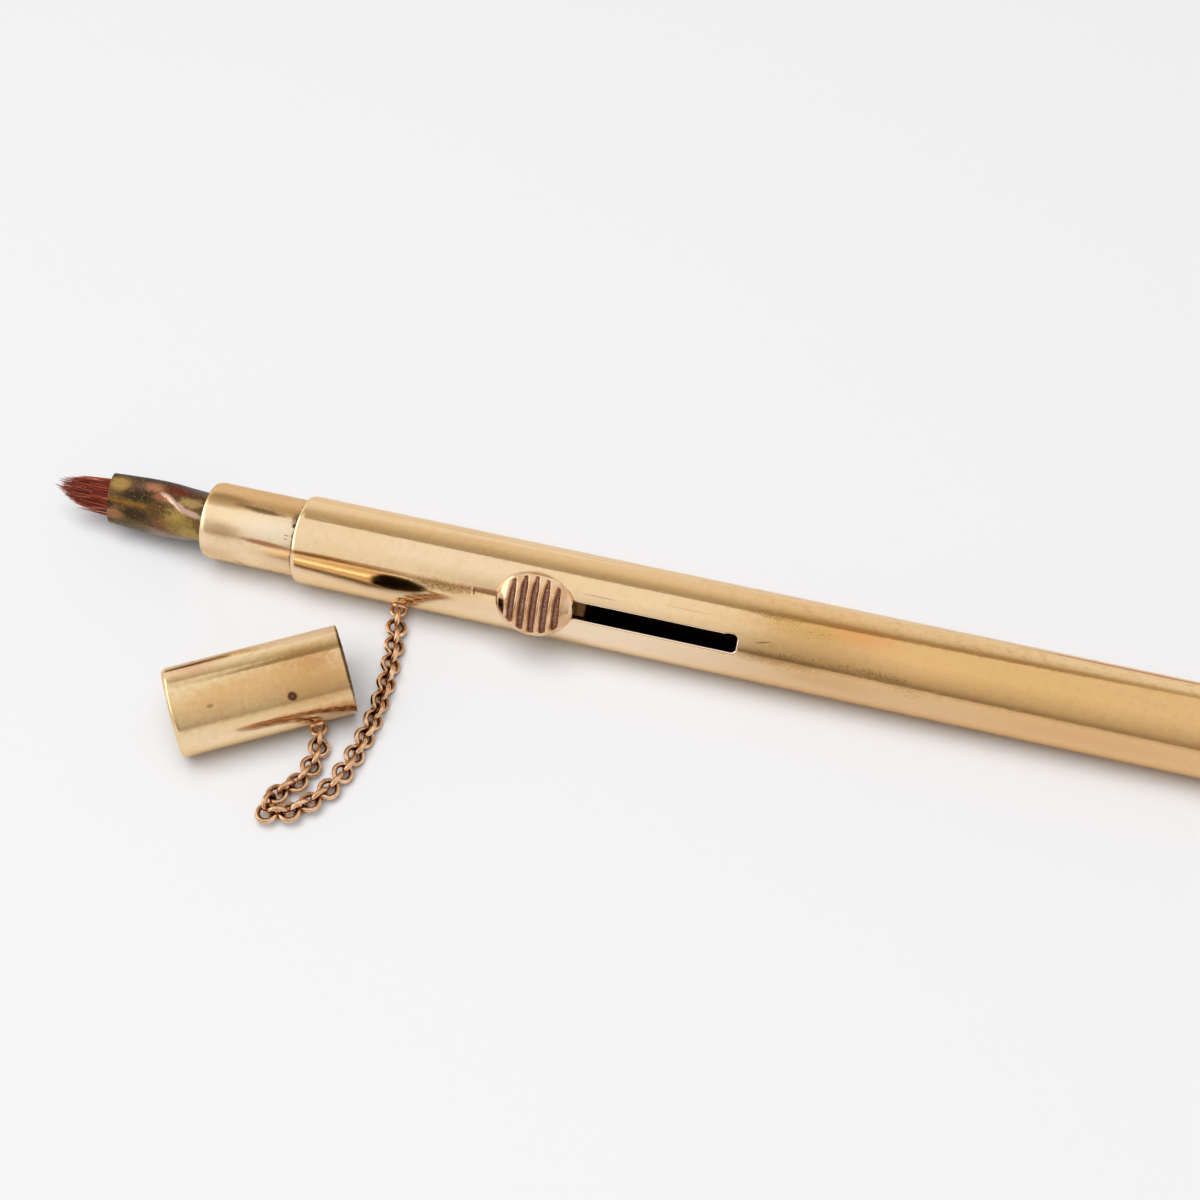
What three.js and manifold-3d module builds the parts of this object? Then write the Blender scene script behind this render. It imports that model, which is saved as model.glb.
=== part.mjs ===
// Retractable lip brush in a tubular gilt case, with a pull-off cap on a fine chain.
// Millimetres, +Z up. The case lies along X on the floor z = 0, with its brush end towards -X.
// Lengths along the case are counted from the front rim of its tube.
import * as THREE from "three";
import { mergeGeometries, mergeVertices } from "three/addons/utils/BufferGeometryUtils.js";
import Module from "manifold-3d";

const wasm = await Module();
wasm.setup();

// Plan centre of case and cap together, counted from the front rim: the origin lies under it.
const planCentreX = 39.273;
const planCentreY = -12.199;

// Case tube and the slot in it
const tubeRadius = 5.0;
const tubeWall = 0.45;
const tubeLength = 108;
const caseRoll = 51.5;
const slotStart = 26.0;
const slotEnd = 50.3;
const slotWidth = 2.0;
const slotCorner = 0.5;

// Neck sleeve, on which the cap is pushed
const neckRadius = 4.35;
const neckWall = 0.4;
const neckFront = -11;
const neckRear = 7;

// Carriage that slides in the tube, and what it carries
const carriageRadius = 4.2;
const carriageBore = 2.95;
const carriageFront = 7.4;
const carriageRear = 33.45;
const buttonX = 28.05;
const buttonHalfLength = 4.34;
const buttonHalfWidth = 3.64;
const groovePitch = 1.25;
const buttonUnder = 5.2;
const stemLength = 3.8;
const stemWidth = 1.6;
const screwRadius = 0.42;
const pinX = 19;
const pinRadius = 0.42;
const handleFront = -8;
const handleRear = 24;

// Ferrule: stations along X with half width and half thickness
const ferruleWall = 0.3;
const ferruleRear = 14;
const ferruleFront = -23.2;
const ferruleStations = [
  [-23.2, 2.94, 1.5],
  [-21.0, 3.08, 1.62],
  [-18.2, 3.22, 1.85],
  [-16.0, 3.2, 2.2],
  [-14.0, 3.02, 2.6],
  [-12.0, 2.88, 2.82],
  [-10.0, 2.85, 2.85],
  [14.0, 2.85, 2.85],
];

// Bristle tuft: an oval bundle that narrows to a point
const tuftHalfWidth = 2.15;
const tuftHalfDepth = 0.95;
const tuftLength = 7.8;
const strandSpacing = 0.156;
const strandRadius = 0.056;

// Cap: length, where its mouth lies and the way that it points, from closed end to mouth
const capRadius = 4.9;
const capWall = 0.45;
const capLength = 19.1;
const capMouth = [9.98, -15.35];
const capYaw = 32;
const capHoleX = -6.5;
const capHoleTurn = 49;
const capHoleRadius = 0.42;
const capEyeX = -4.4;

// Chain eyes and chain links
const eyeTurn = 130;
const eyeX = 12.1;
const eyeMeanRadius = 0.75;
const eyeWire = 0.25;
const eyeRise = 0.62;
const linkMeanRadius = 0.935;
const linkWire = 0.265;
const eyeReach = 1.1;
const chainRest = 0.03;

// The two runs of the chain, each from its eye to the bend between them: every second link in plan, how
// far the links lean over at most, and after how many of those places they stand and lie straight again.
const longRun = {
  lean: 42,
  leanPlaces: 11,
  route: [
    [12.53, -6.55],
    [13.04, -8.91],
    [13.36, -11.28],
    [13.63, -13.7],
    [13.73, -16.11],
    [13.73, -18.56],
    [13.52, -20.95],
    [13.19, -23.36],
    [12.71, -25.74],
    [11.92, -28.01],
    [10.56, -30.04],
    [8.85, -31.75],
    [6.53, -32.44],
  ],
};
const shortRun = {
  lean: 25,
  leanPlaces: 3,
  route: [
    [9.25, -23.43],
    [9.2, -25.85],
    [8.45, -28.15],
    [6.84, -30.03],
  ],
};
const bendOut = 0.25;
const bendLean = 20;

const radians = THREE.MathUtils.degToRad;

// A closed three.js geometry as a solid, facing outwards.
function toSolid(geometry) {
  const bare = geometry.index ? geometry.toNonIndexed() : geometry.clone();
  for (const name of Object.keys(bare.attributes)) {
    if (name !== "position") bare.deleteAttribute(name);
  }
  const merged = mergeVertices(bare, 1e-4);
  const corners = [];
  const index = merged.index.array;
  for (let i = 0; i < index.length; i += 3) {
    const [a, b, c] = [index[i], index[i + 1], index[i + 2]];
    if (a !== b && b !== c && c !== a) corners.push(a, b, c);
  }
  const make = (list) =>
    new wasm.Manifold(
      new wasm.Mesh({
        numProp: 3,
        vertProperties: new Float32Array(merged.attributes.position.array),
        triVerts: new Uint32Array(list),
      }),
    );
  const made = make(corners);
  if (made.volume() > 0) return made;
  for (let i = 0; i < corners.length; i += 3) {
    [corners[i + 1], corners[i + 2]] = [corners[i + 2], corners[i + 1]];
  }
  return make(corners);
}

function toGeometry(solid) {
  const mesh = solid.getMesh();
  const points = new Float32Array(mesh.numVert * 3);
  for (let i = 0; i < mesh.numVert; i++) {
    points.set(mesh.vertProperties.subarray(i * mesh.numProp, i * mesh.numProp + 3), i * 3);
  }
  return new THREE.BufferGeometry()
    .setAttribute("position", new THREE.BufferAttribute(points, 3))
    .setIndex(new THREE.BufferAttribute(new Uint32Array(mesh.triVerts), 1));
}

// A profile of [x, radius] corners turned about the X axis. A ring's profile closes on itself.
function turned(profile, sides = 48) {
  const points = profile.map(([x, radius]) => new THREE.Vector2(radius, x));
  return new THREE.LatheGeometry(points, sides).rotateZ(-Math.PI / 2);
}

function ring(front, rear, outer, inner, bevel = 0.12, sides = 48) {
  return turned(
    [
      [front, inner],
      [front, outer - bevel],
      [front + bevel, outer],
      [rear - bevel, outer],
      [rear, outer - bevel],
      [rear, inner],
      [front, inner],
    ],
    sides,
  );
}

function rod(front, rear, radius, sides = 24) {
  return turned([[front, 0], [front, radius], [rear, radius], [rear, 0]], sides);
}

// A round pin along local Z, centred on x and y.
function pinAlongZ(x, y, low, high, radius, sides = 12) {
  return new THREE.CylinderGeometry(radius, radius, high - low, sides)
    .rotateX(Math.PI / 2)
    .translate(x, y, (low + high) / 2);
}

function box(x0, x1, y0, y1, z0, z1) {
  return new THREE.BoxGeometry(x1 - x0, y1 - y0, z1 - z0).translate(
    (x0 + x1) / 2,
    (y0 + y1) / 2,
    (z0 + z1) / 2,
  );
}

const gilt = { color: 0xdcbf8f, roughness: 0.28, metalness: 1 };
const paleGilt = { color: 0xdcc19d, roughness: 0.33, metalness: 1 };
const capGilt = { color: 0xd3bd8b, roughness: 0.3, metalness: 1 };
const roseGilt = { color: 0xd9ae84, roughness: 0.25, metalness: 1 };
const copper = { color: 0xb9835a, roughness: 0.3, metalness: 1 };
const wornBrass = { color: 0x7c6238, roughness: 0.45, metalness: 1 };
const plainBrass = { color: 0x9a7b4b, roughness: 0.45, metalness: 1 };
const springSteel = { color: 0x8d8f91, roughness: 0.35, metalness: 1 };
const hair = { color: 0x5c231b, roughness: 0.75, metalness: 0 };

function piece(name, solid, look) {
  const mesh = new THREE.Mesh(toGeometry(solid), new THREE.MeshStandardMaterial(look));
  mesh.name = name;
  return mesh;
}

// The slot's outline, with rounded corners, cut straight down through one wall.
function slotCutter() {
  const half = slotWidth / 2;
  const shape = new THREE.Shape();
  shape.moveTo(slotStart + slotCorner, -half);
  shape.lineTo(slotEnd - slotCorner, -half);
  shape.absarc(slotEnd - slotCorner, -half + slotCorner, slotCorner, -Math.PI / 2, 0);
  shape.absarc(slotEnd - slotCorner, half - slotCorner, slotCorner, 0, Math.PI / 2);
  shape.lineTo(slotStart + slotCorner, half);
  shape.absarc(slotStart + slotCorner, half - slotCorner, slotCorner, Math.PI / 2, Math.PI);
  shape.absarc(slotStart + slotCorner, -half + slotCorner, slotCorner, Math.PI, 1.5 * Math.PI);
  return new THREE.ExtrudeGeometry(shape, { depth: 3, bevelEnabled: false, curveSegments: 4 })
    .translate(0, 0, 3);
}

function caseTube() {
  const tube = toSolid(ring(0, tubeLength, tubeRadius, tubeRadius - tubeWall, 0.2));
  return piece("case_tube", tube.subtract(toSolid(slotCutter())), gilt);
}

function neckSleeve() {
  const sleeve = ring(neckFront, neckRear, neckRadius, neckRadius - neckWall, 0.12, 40);
  return piece("neck_sleeve", toSolid(sleeve), paleGilt);
}

// The plug closes the rear end: a spigot in the tube and a flat head of the tube's own size.
function rearPlug() {
  const seat = tubeLength + 0.05;
  const profile = [
    [seat - 4, 0],
    [seat - 4, 4.3],
    [seat - 3.8, 4.45],
    [seat, 4.45],
    [seat, tubeRadius],
    [seat + 0.6, tubeRadius],
    [seat + 0.9, tubeRadius - 0.12],
    [seat + 1.0, tubeRadius - 0.4],
    [seat + 1.0, 0],
  ];
  return piece("rear_plug", toSolid(turned(profile)), gilt);
}

// The carriage has a flat on its underside for the spring, a hole for the screw and one for the pin.
function carriageTube() {
  const tube = toSolid(ring(carriageFront, carriageRear, carriageRadius, carriageBore, 0.15, 36));
  const flat = toSolid(box(9.5, 28.5, -3, 3, -5, -3.62));
  const screwHole = toSolid(pinAlongZ(buttonX, 0, 2, 5, screwRadius + 0.08));
  const pinHole = toSolid(pinAlongZ(pinX, 0, -5, 5, pinRadius + 0.08).rotateX(Math.PI / 2));
  return piece("slider_carriage", tube.subtract(flat).subtract(screwHole).subtract(pinHole), plainBrass);
}

// A bowed leaf: it bears on the tube's wall and holds the carriage where it is put.
function frictionSpring() {
  const start = new THREE.Vector2(10.5, -3.68);
  const end = new THREE.Vector2(27.5, -3.68);
  const crest = -4.86;
  const thickness = 0.14;
  const upper = new THREE.QuadraticBezierCurve(start, new THREE.Vector2(pinX, crest + thickness), end);
  const lower = new THREE.QuadraticBezierCurve(
    end.clone().setY(end.y - thickness),
    new THREE.Vector2(pinX, crest),
    start.clone().setY(start.y - thickness),
  );
  const shape = new THREE.Shape([...upper.getPoints(12), ...lower.getPoints(12)]);
  const leaf = new THREE.ExtrudeGeometry(shape, { depth: 2.2, bevelEnabled: false })
    .rotateX(Math.PI / 2)
    .translate(0, 1.1, 0);
  return piece("friction_spring", toSolid(leaf), springSteel);
}

function buttonStem() {
  const half = stemLength / 2;
  const block = toSolid(
    box(buttonX - half, buttonX + half, -stemWidth / 2, stemWidth / 2, 4.26, buttonUnder - 0.05),
  );
  const hole = toSolid(pinAlongZ(buttonX, 0, 4, 6, screwRadius + 0.08));
  return piece("button_stem", block.subtract(hole), plainBrass);
}

// A low oval dome with five grooves across it, between raised ribs.
function thumbButton() {
  const narrow = buttonHalfWidth / buttonHalfLength;
  const profile = [
    [buttonUnder, 0],
    [buttonUnder, buttonHalfLength - 0.4],
    [buttonUnder + 0.3, buttonHalfLength],
    [buttonUnder + 0.62, buttonHalfLength],
    [buttonUnder + 1.05, buttonHalfLength - 0.22],
    [buttonUnder + 1.35, buttonHalfLength - 0.75],
    [buttonUnder + 1.58, 2.4],
    [buttonUnder + 1.68, 1.2],
    [buttonUnder + 1.7, 0],
  ];
  const oval = turned(profile, 40).rotateY(-Math.PI / 2).scale(1, narrow, 1);
  let dome = toSolid(oval.translate(buttonX, 0, 0));
  for (let i = -2; i <= 2; i++) {
    const reach = Math.sqrt((buttonHalfLength - 0.45) ** 2 - (i * groovePitch) ** 2) * narrow;
    const sink = 0.06 * i * i;
    const groove = new THREE.CylinderGeometry(0.42, 0.42, 2 * reach, 12)
      .translate(buttonX + i * groovePitch, 0, buttonUnder + 1.68 - sink);
    dome = dome.subtract(toSolid(groove));
  }
  const hole = toSolid(pinAlongZ(buttonX, 0, buttonUnder - 1, buttonUnder + 0.75, screwRadius + 0.08));
  return piece("thumb_button", dome.subtract(hole), roseGilt);
}

function buttonScrew() {
  const head = toSolid(pinAlongZ(buttonX, 0, 1.9, 2.55, 1.25, 20));
  const shank = toSolid(pinAlongZ(buttonX, 0, 2.5, buttonUnder + 0.65, screwRadius));
  const driverSlot = toSolid(box(buttonX - 2, buttonX + 2, -0.14, 0.14, 1.6, 2.1));
  return piece("button_screw", head.add(shank).subtract(driverSlot), springSteel);
}

function brushHandle() {
  const profile = [
    [handleFront, 0],
    [handleFront, 2.3],
    [handleFront + 0.2, 2.45],
    [ferruleRear + 0.2, 2.45],
    [ferruleRear + 0.2, 2.83],
    [handleRear, 2.83],
    [handleRear, 0],
  ];
  const hole = toSolid(pinAlongZ(pinX, 0, -5, 5, pinRadius + 0.08).rotateX(Math.PI / 2));
  return piece("brush_handle", toSolid(turned(profile, 28)).subtract(hole), plainBrass);
}

function handlePin() {
  return piece("handle_pin", toSolid(pinAlongZ(pinX, 0, -4, 4, pinRadius).rotateX(Math.PI / 2)), springSteel);
}

function ferruleHalf(x) {
  const next = ferruleStations.findIndex(([station]) => station >= x - 1e-6);
  if (next <= 0) return ferruleStations[0].slice(1);
  const [x0, w0, t0] = ferruleStations[next - 1];
  const [x1, w1, t1] = ferruleStations[next];
  const share = (x - x0) / (x1 - x0);
  return [w0 + (w1 - w0) * share, t0 + (t1 - t0) * share];
}

// A turned tube pressed flat towards the bristles: each turned ring becomes the oval of its station.
function ferrule() {
  const outer = ferruleStations.map(([x]) => [x, 2]);
  const inner = [...ferruleStations].reverse().map(([x]) => [x, 1]);
  const tube = turned([...outer, ...inner, outer[0]], 28);
  const point = tube.attributes.position;
  for (let i = 0; i < point.count; i++) {
    const x = point.getX(i);
    const turn = Math.atan2(point.getZ(i), point.getY(i));
    const inset = Math.hypot(point.getY(i), point.getZ(i)) > 1.5 ? 0 : ferruleWall;
    const [width, thickness] = ferruleHalf(x);
    point.setY(i, (width - inset) * Math.cos(turn));
    point.setZ(i, (thickness - inset) * Math.sin(turn));
  }
  return piece("ferrule", toSolid(tube), wornBrass);
}

// The bundle's width at a distance s from the ferrule, as a share of its width at the ferrule.
function tuftShare(s) {
  return 1 - 0.02 * s - 0.0062 * s * s;
}

// Strands stand on a slice that fills the ferrule's mouth. All follow one profile, so none crosses.
function bristleTuft() {
  const root = ferruleFront + 0.55;
  const strands = [];
  const rows = Math.ceil(tuftHalfDepth / (strandSpacing * 0.866));
  for (let row = -rows; row <= rows; row++) {
    const z = row * strandSpacing * 0.866;
    const shift = row % 2 ? strandSpacing / 2 : 0;
    for (let y = -3 + shift; y < 3; y += strandSpacing) {
      const reach = Math.hypot(y / tuftHalfWidth, z / tuftHalfDepth);
      if (reach > 1) continue;
      const vary = Math.sin(y * 71.3 + z * 37.7) * 0.3 + Math.sin(y * 17.9 - z * 53.1) * 0.25;
      const length = tuftLength - 0.35 - 2.6 * reach ** 1.5 + vary;
      const strand = new THREE.CylinderGeometry(strandRadius * 0.12, strandRadius, length + 0.4, 3, 2);
      const point = strand.attributes.position;
      for (let i = 0; i < point.count; i++) {
        const s = point.getY(i) + (length + 0.4) / 2 - 0.4;
        const share = tuftShare(Math.max(s, 0));
        point.setXYZ(
          i,
          root - s,
          share * (y + point.getX(i)),
          share * (z + point.getZ(i)),
        );
      }
      strands.push(strand);
    }
  }
  const slice = rod(root, root + 0.6, 1, 32);
  const edge = slice.attributes.position;
  const [width, thickness] = ferruleHalf(root);
  for (let i = 0; i < edge.count; i++) {
    edge.setY(i, edge.getY(i) * (width - ferruleWall - 0.08));
    edge.setZ(i, edge.getZ(i) * (thickness - ferruleWall - 0.08));
  }
  const bundle = toSolid(mergeGeometries(strands.map((strand) => strand.toNonIndexed())));
  return piece("bristle_tuft", toSolid(slice).add(bundle), hair);
}

// A wire eye on a small pad that hugs a tube of the given radius. Local Z points away from the tube, and
// the wire's ring is level once the eye is turned to its place.
function chainEye(name, x, radius, look) {
  const wire = new THREE.TorusGeometry(eyeMeanRadius, eyeWire, 10, 20)
    .rotateX(-radians(eyeTurn))
    .translate(x, 0, radius + eyeRise);
  const pad = pinAlongZ(x, 0, radius - 0.6, radius + 0.16, 0.95, 20);
  const tube = toSolid(rod(x - 4, x + 4, radius + 0.05, 48));
  return piece(name, toSolid(wire).add(toSolid(pad)).subtract(tube), look);
}

// The middle of an eye's ring, in the frame in which its tube lies along X at its own radius above the floor.
function eyeCentre(x, radius) {
  const turn = radians(eyeTurn);
  const reach = radius + eyeRise;
  return new THREE.Vector3(x, -reach * Math.sin(turn), radius + reach * Math.cos(turn));
}

function capPlace(point) {
  return point
    .clone()
    .applyAxisAngle(new THREE.Vector3(0, 0, 1), radians(capYaw))
    .add(new THREE.Vector3(capMouth[0], capMouth[1], 0));
}

// How far the links of a run lean over at a place, counted in places of its route.
function leanAt(run, place) {
  const share = THREE.MathUtils.clamp((place + 1) / run.leanPlaces, 0, 1);
  return radians(run.lean * Math.sin(Math.PI * share) ** 0.8);
}

// The height of a leaning link's middle, at which the link or its neighbour just clears the floor.
function linkHeight(lean) {
  return linkMeanRadius * Math.max(Math.cos(lean), Math.sin(lean)) + linkWire + chainRest;
}

// The links of a run, from its eye on: those of the route lie, and one stands before each of them.
function runLinks(run, eye) {
  const lying = run.route.map(([x, y], place) => new THREE.Vector3(x, y, linkHeight(leanAt(run, place))));
  const stops = [eye, ...lying];
  return lying.flatMap((centre, place) => {
    const step = centre.clone().sub(stops[place]);
    const share = place === 0 ? eyeReach / step.length() : 0.5;
    const next = lying[place + 1] ?? centre;
    return [
      { centre: stops[place].clone().addScaledVector(step, share), along: step, lean: leanAt(run, place - 0.5) },
      { centre, along: next.clone().sub(stops[place]), lean: leanAt(run, place) + Math.PI / 2 },
    ];
  });
}

// Both runs, joined by a leaning link that bulges out of the bend.
function chainLinks() {
  const long = runLinks(longRun, eyeCentre(eyeX, tubeRadius));
  const short = runLinks(shortRun, capPlace(eyeCentre(capEyeX, capRadius))).reverse();
  const across = short[0].centre.clone().sub(long.at(-1).centre);
  const outwards = new THREE.Vector3(-across.y, across.x, 0).normalize();
  const bend = long.at(-1).centre.clone().lerp(short[0].centre, 0.5).addScaledVector(outwards, bendOut);
  const places = [...long, { centre: bend, along: across, lean: radians(bendLean) }, ...short];
  return places.map(({ centre, along, lean }, i) => {
    const tangent = along.clone().normalize();
    const side = new THREE.Vector3(tangent.y, -tangent.x, 0).normalize();
    const up = new THREE.Vector3().crossVectors(side, tangent).normalize();
    const normal = side.multiplyScalar(Math.cos(lean)).addScaledVector(up, Math.sin(lean));
    const across = new THREE.Vector3().crossVectors(normal, tangent).normalize();
    const link = new THREE.TorusGeometry(linkMeanRadius, linkWire, 6, 12);
    link.applyMatrix4(new THREE.Matrix4().makeBasis(tangent, across, normal).setPosition(centre));
    return piece("chain_link_" + String(i + 1).padStart(2, "0"), toSolid(link), copper);
  });
}

function capShell() {
  const shell = toSolid(ring(-capLength + 0.6, 0, capRadius, capRadius - capWall, 0.1));
  const hole = toSolid(
    pinAlongZ(capHoleX, 0, capRadius - 1, capRadius + 1, capHoleRadius, 16).rotateX(radians(capHoleTurn)),
  );
  return piece("cap_shell", shell.subtract(hole), capGilt);
}

function capEndDisc() {
  const seat = -capLength + 0.55;
  const profile = [
    [seat - 0.55, 0],
    [seat - 0.55, capRadius - 0.7],
    [seat - 0.42, capRadius - 0.25],
    [seat - 0.15, capRadius - 0.02],
    [seat, capRadius],
    [seat, capRadius - capWall - 0.1],
    [seat + 0.9, capRadius - capWall - 0.1],
    [seat + 0.9, 0],
  ];
  return piece("cap_end_disc", toSolid(turned(profile)), capGilt);
}

// A small rivet that fills the hole in the cap, a little below its surface.
function capRivet() {
  const low = capRadius - capWall + 0.04;
  const pin = toSolid(pinAlongZ(capHoleX, 0, low, capRadius - 0.08, capHoleRadius - 0.06, 16));
  const dish = toSolid(pinAlongZ(capHoleX, 0, capRadius - 0.16, capRadius + 1, capHoleRadius / 2, 12));
  return piece("cap_rivet", pin.subtract(dish), wornBrass);
}

function build() {
  const object = new THREE.Group();
  object.position.set(-planCentreX, -planCentreY, 0);

  const caseGroup = new THREE.Group();
  caseGroup.position.z = tubeRadius;
  caseGroup.rotation.x = radians(caseRoll);
  caseGroup.add(caseTube(), neckSleeve(), rearPlug());
  caseGroup.add(carriageTube(), frictionSpring(), buttonStem(), thumbButton(), buttonScrew());
  caseGroup.add(brushHandle(), handlePin(), ferrule(), bristleTuft());
  object.add(caseGroup);

  const caseEyeGroup = new THREE.Group();
  caseEyeGroup.position.z = tubeRadius;
  caseEyeGroup.rotation.x = radians(eyeTurn);
  caseEyeGroup.add(chainEye("case_eye", eyeX, tubeRadius, copper));
  object.add(caseEyeGroup);

  object.add(...chainLinks());

  const cap = new THREE.Group();
  cap.position.set(capMouth[0], capMouth[1], 0);
  cap.rotation.z = radians(capYaw);
  const capBody = new THREE.Group();
  capBody.position.z = capRadius;
  capBody.add(capShell(), capEndDisc());
  const rivetGroup = new THREE.Group();
  rivetGroup.rotation.x = radians(capHoleTurn);
  rivetGroup.add(capRivet());
  capBody.add(rivetGroup);
  const capEyeGroup = new THREE.Group();
  capEyeGroup.rotation.x = radians(eyeTurn);
  capEyeGroup.add(chainEye("cap_eye", capEyeX, capRadius, copper));
  capBody.add(capEyeGroup);
  cap.add(capBody);
  object.add(cap);
  return object;
}

export default build();
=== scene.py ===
# Lip brush that slides out of a gilt tubular case, with its pull-off cap on a fine chain.
# Sizes in the dictionaries are millimetres and degrees, lengths along the case count from its front rim.
import math

import bmesh
import bpy
from mathutils import Euler, Matrix, Vector


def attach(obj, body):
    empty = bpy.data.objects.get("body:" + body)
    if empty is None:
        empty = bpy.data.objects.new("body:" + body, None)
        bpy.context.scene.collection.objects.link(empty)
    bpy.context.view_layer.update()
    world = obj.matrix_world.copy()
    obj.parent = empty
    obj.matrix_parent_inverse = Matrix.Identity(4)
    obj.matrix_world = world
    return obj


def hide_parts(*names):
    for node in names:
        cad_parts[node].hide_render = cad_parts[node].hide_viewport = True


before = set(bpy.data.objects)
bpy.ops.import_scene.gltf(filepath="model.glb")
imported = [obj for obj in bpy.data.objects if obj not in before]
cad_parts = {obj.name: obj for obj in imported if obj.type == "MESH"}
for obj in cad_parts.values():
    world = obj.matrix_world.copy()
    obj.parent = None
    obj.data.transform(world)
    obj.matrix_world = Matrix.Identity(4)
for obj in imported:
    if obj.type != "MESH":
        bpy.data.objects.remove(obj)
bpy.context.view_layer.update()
print("frame loaded,", len(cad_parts), "nodes")

layout = {
    "planCentre": (39.273, -12.199),  # below it lies the part's origin
    "tubeHeight": 5.0,
    "caseRoll": 51.5,  # turns the slot towards the front
    "capMouth": (9.98, -15.35),
    "capHeight": 4.9,
    "capYaw": 32.0,
    "eyeTurn": 130.0,
}


# Where a piece made in its own millimetres goes: its shift, and its turn about X and then about Z.
def placeOf(x, y, z, roll=0.0, yaw=0.0):
    centreX, centreY = layout["planCentre"]
    shift = Vector((x - centreX, y - centreY, z)) * 0.001
    turn = Euler((math.radians(roll), 0.0, math.radians(yaw)))
    return {"shift": shift, "turn": turn}


def matrixOf(place):
    return Matrix.LocRotScale(place["shift"], place["turn"], Vector((0.001, 0.001, 0.001)))


casePlace = placeOf(0, 0, layout["tubeHeight"], roll=layout["caseRoll"])
caseEyePlace = placeOf(0, 0, layout["tubeHeight"], roll=layout["eyeTurn"])
capPlace = placeOf(*layout["capMouth"], layout["capHeight"], yaw=layout["capYaw"])
capEyePlace = placeOf(*layout["capMouth"], layout["capHeight"], roll=layout["eyeTurn"], yaw=layout["capYaw"])
chainPlace = placeOf(0, 0, 0)


# A socket in a node tree that takes part in plain Python sums.
class Wire:
    def __init__(self, graph, socket):
        self.graph = graph
        self.socket = socket

    def maths(self, operation, *others):
        return self.graph.add("ShaderNodeMath", {"operation": operation}, [self, *others])

    def __add__(self, other):
        return self.maths("ADD", other)

    def __radd__(self, other):
        return self.maths("ADD", other)

    def __sub__(self, other):
        return self.maths("SUBTRACT", other)

    def __rsub__(self, other):
        return self.graph.add("ShaderNodeMath", {"operation": "SUBTRACT"}, [other, self])

    def __mul__(self, other):
        return self.maths("MULTIPLY", other)

    def __rmul__(self, other):
        return self.maths("MULTIPLY", other)

    def __truediv__(self, other):
        return self.maths("DIVIDE", other)

    def __pow__(self, other):
        return self.maths("POWER", other)

    # 0 below low, 1 above high and a soft step in between
    def step(self, low, high):
        settings = {"interpolation_type": "SMOOTHSTEP"}
        return self.graph.add("ShaderNodeMapRange", settings, {0: self, 1: low, 2: high, 3: 0.0, 4: 1.0})


# A node tree that is filled from Python: a node's settings are made first, then its inputs.
class Graph:
    def __init__(self, tree):
        self.tree = tree

    def add(self, kind, settings=None, inputs=(), out=0):
        node = self.tree.nodes.new(kind)
        for name, value in (settings or {}).items():
            if name == "stops":
                self.setStops(node.color_ramp, value)
            elif name == "curve":
                self.setCurve(node.mapping, value)
            else:
                setattr(node, name, value)
        pairs = inputs.items() if isinstance(inputs, dict) else enumerate(inputs)
        for key, value in pairs:
            self.feed(node.inputs[key], value)
        return Wire(self, node.outputs[out] if len(node.outputs) else None)

    def feed(self, socket, value):
        if isinstance(value, Wire):
            self.tree.links.new(value.socket, socket)
        elif value is not None:
            socket.default_value = value

    def setStops(self, ramp, stops):
        while len(ramp.elements) < len(stops):
            ramp.elements.new(0.5)
        for element, (position, colour) in zip(ramp.elements, stops):
            element.position = position
            element.color = colour

    def setCurve(self, mapping, points):
        curve = mapping.curves[0]
        while len(curve.points) < len(points):
            curve.points.new(0.5, 0.5)
        for point, (x, y) in zip(curve.points, points):
            point.location = (x, y)
            point.handle_type = "VECTOR"
        mapping.update()

    def mix(self, share, first, second):
        return self.add("ShaderNodeMix", {"data_type": "RGBA"}, {0: share, 6: first, 7: second}, out=2)

    def vector(self, x, y, z):
        return self.add("ShaderNodeCombineXYZ", {}, [x, y, z])

    def parts(self, vector):
        node = self.add("ShaderNodeSeparateXYZ", {}, [vector]).socket.node
        return [Wire(self, output) for output in node.outputs]

    def noise(self, where, scale, detail=3.0, rough=0.5, twist=0.0):
        values = {"Vector": where, "Scale": scale, "Detail": detail, "Roughness": rough, "Distortion": twist}
        return self.add("ShaderNodeTexNoise", {}, values)

    def stretched(self, where, x, y, z):
        return self.add("ShaderNodeVectorMath", {"operation": "MULTIPLY"}, [where, (x, y, z)])

    def attribute(self, name):
        return self.add("ShaderNodeAttribute", {"attribute_name": name}, out=2)

    # Keeps a number on each point of a geometry under a name. What is kept so is read with stored.
    def store(self, geometry, name, value):
        settings = {"data_type": "FLOAT", "domain": "POINT"}
        values = {"Geometry": geometry, "Name": name, "Value": value}
        return self.add("GeometryNodeStoreNamedAttribute", settings, values)

    def stored(self, name, kind="FLOAT"):
        return self.add("GeometryNodeInputNamedAttribute", {"data_type": kind}, [name])


# A colour as it is read from a screen, turned to the linear values that a shader takes.
def tone(red, green, blue):
    def linear(value):
        share = value / 255
        return share / 12.92 if share <= 0.04045 else ((share + 0.055) / 1.055) ** 2.4

    return (linear(red), linear(green), linear(blue), 1.0)


def newMaterial(name):
    material = bpy.data.materials.new(name)
    material.use_nodes = True
    material.node_tree.nodes.clear()
    return material, Graph(material.node_tree)


# Camera

camera = {
    "eye": (68.16, -129.81, 197.01),
    "target": (34.2, 0.28, 5.0),
    "lens": 63.81,
    "sensor": 36.0,
}


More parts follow.
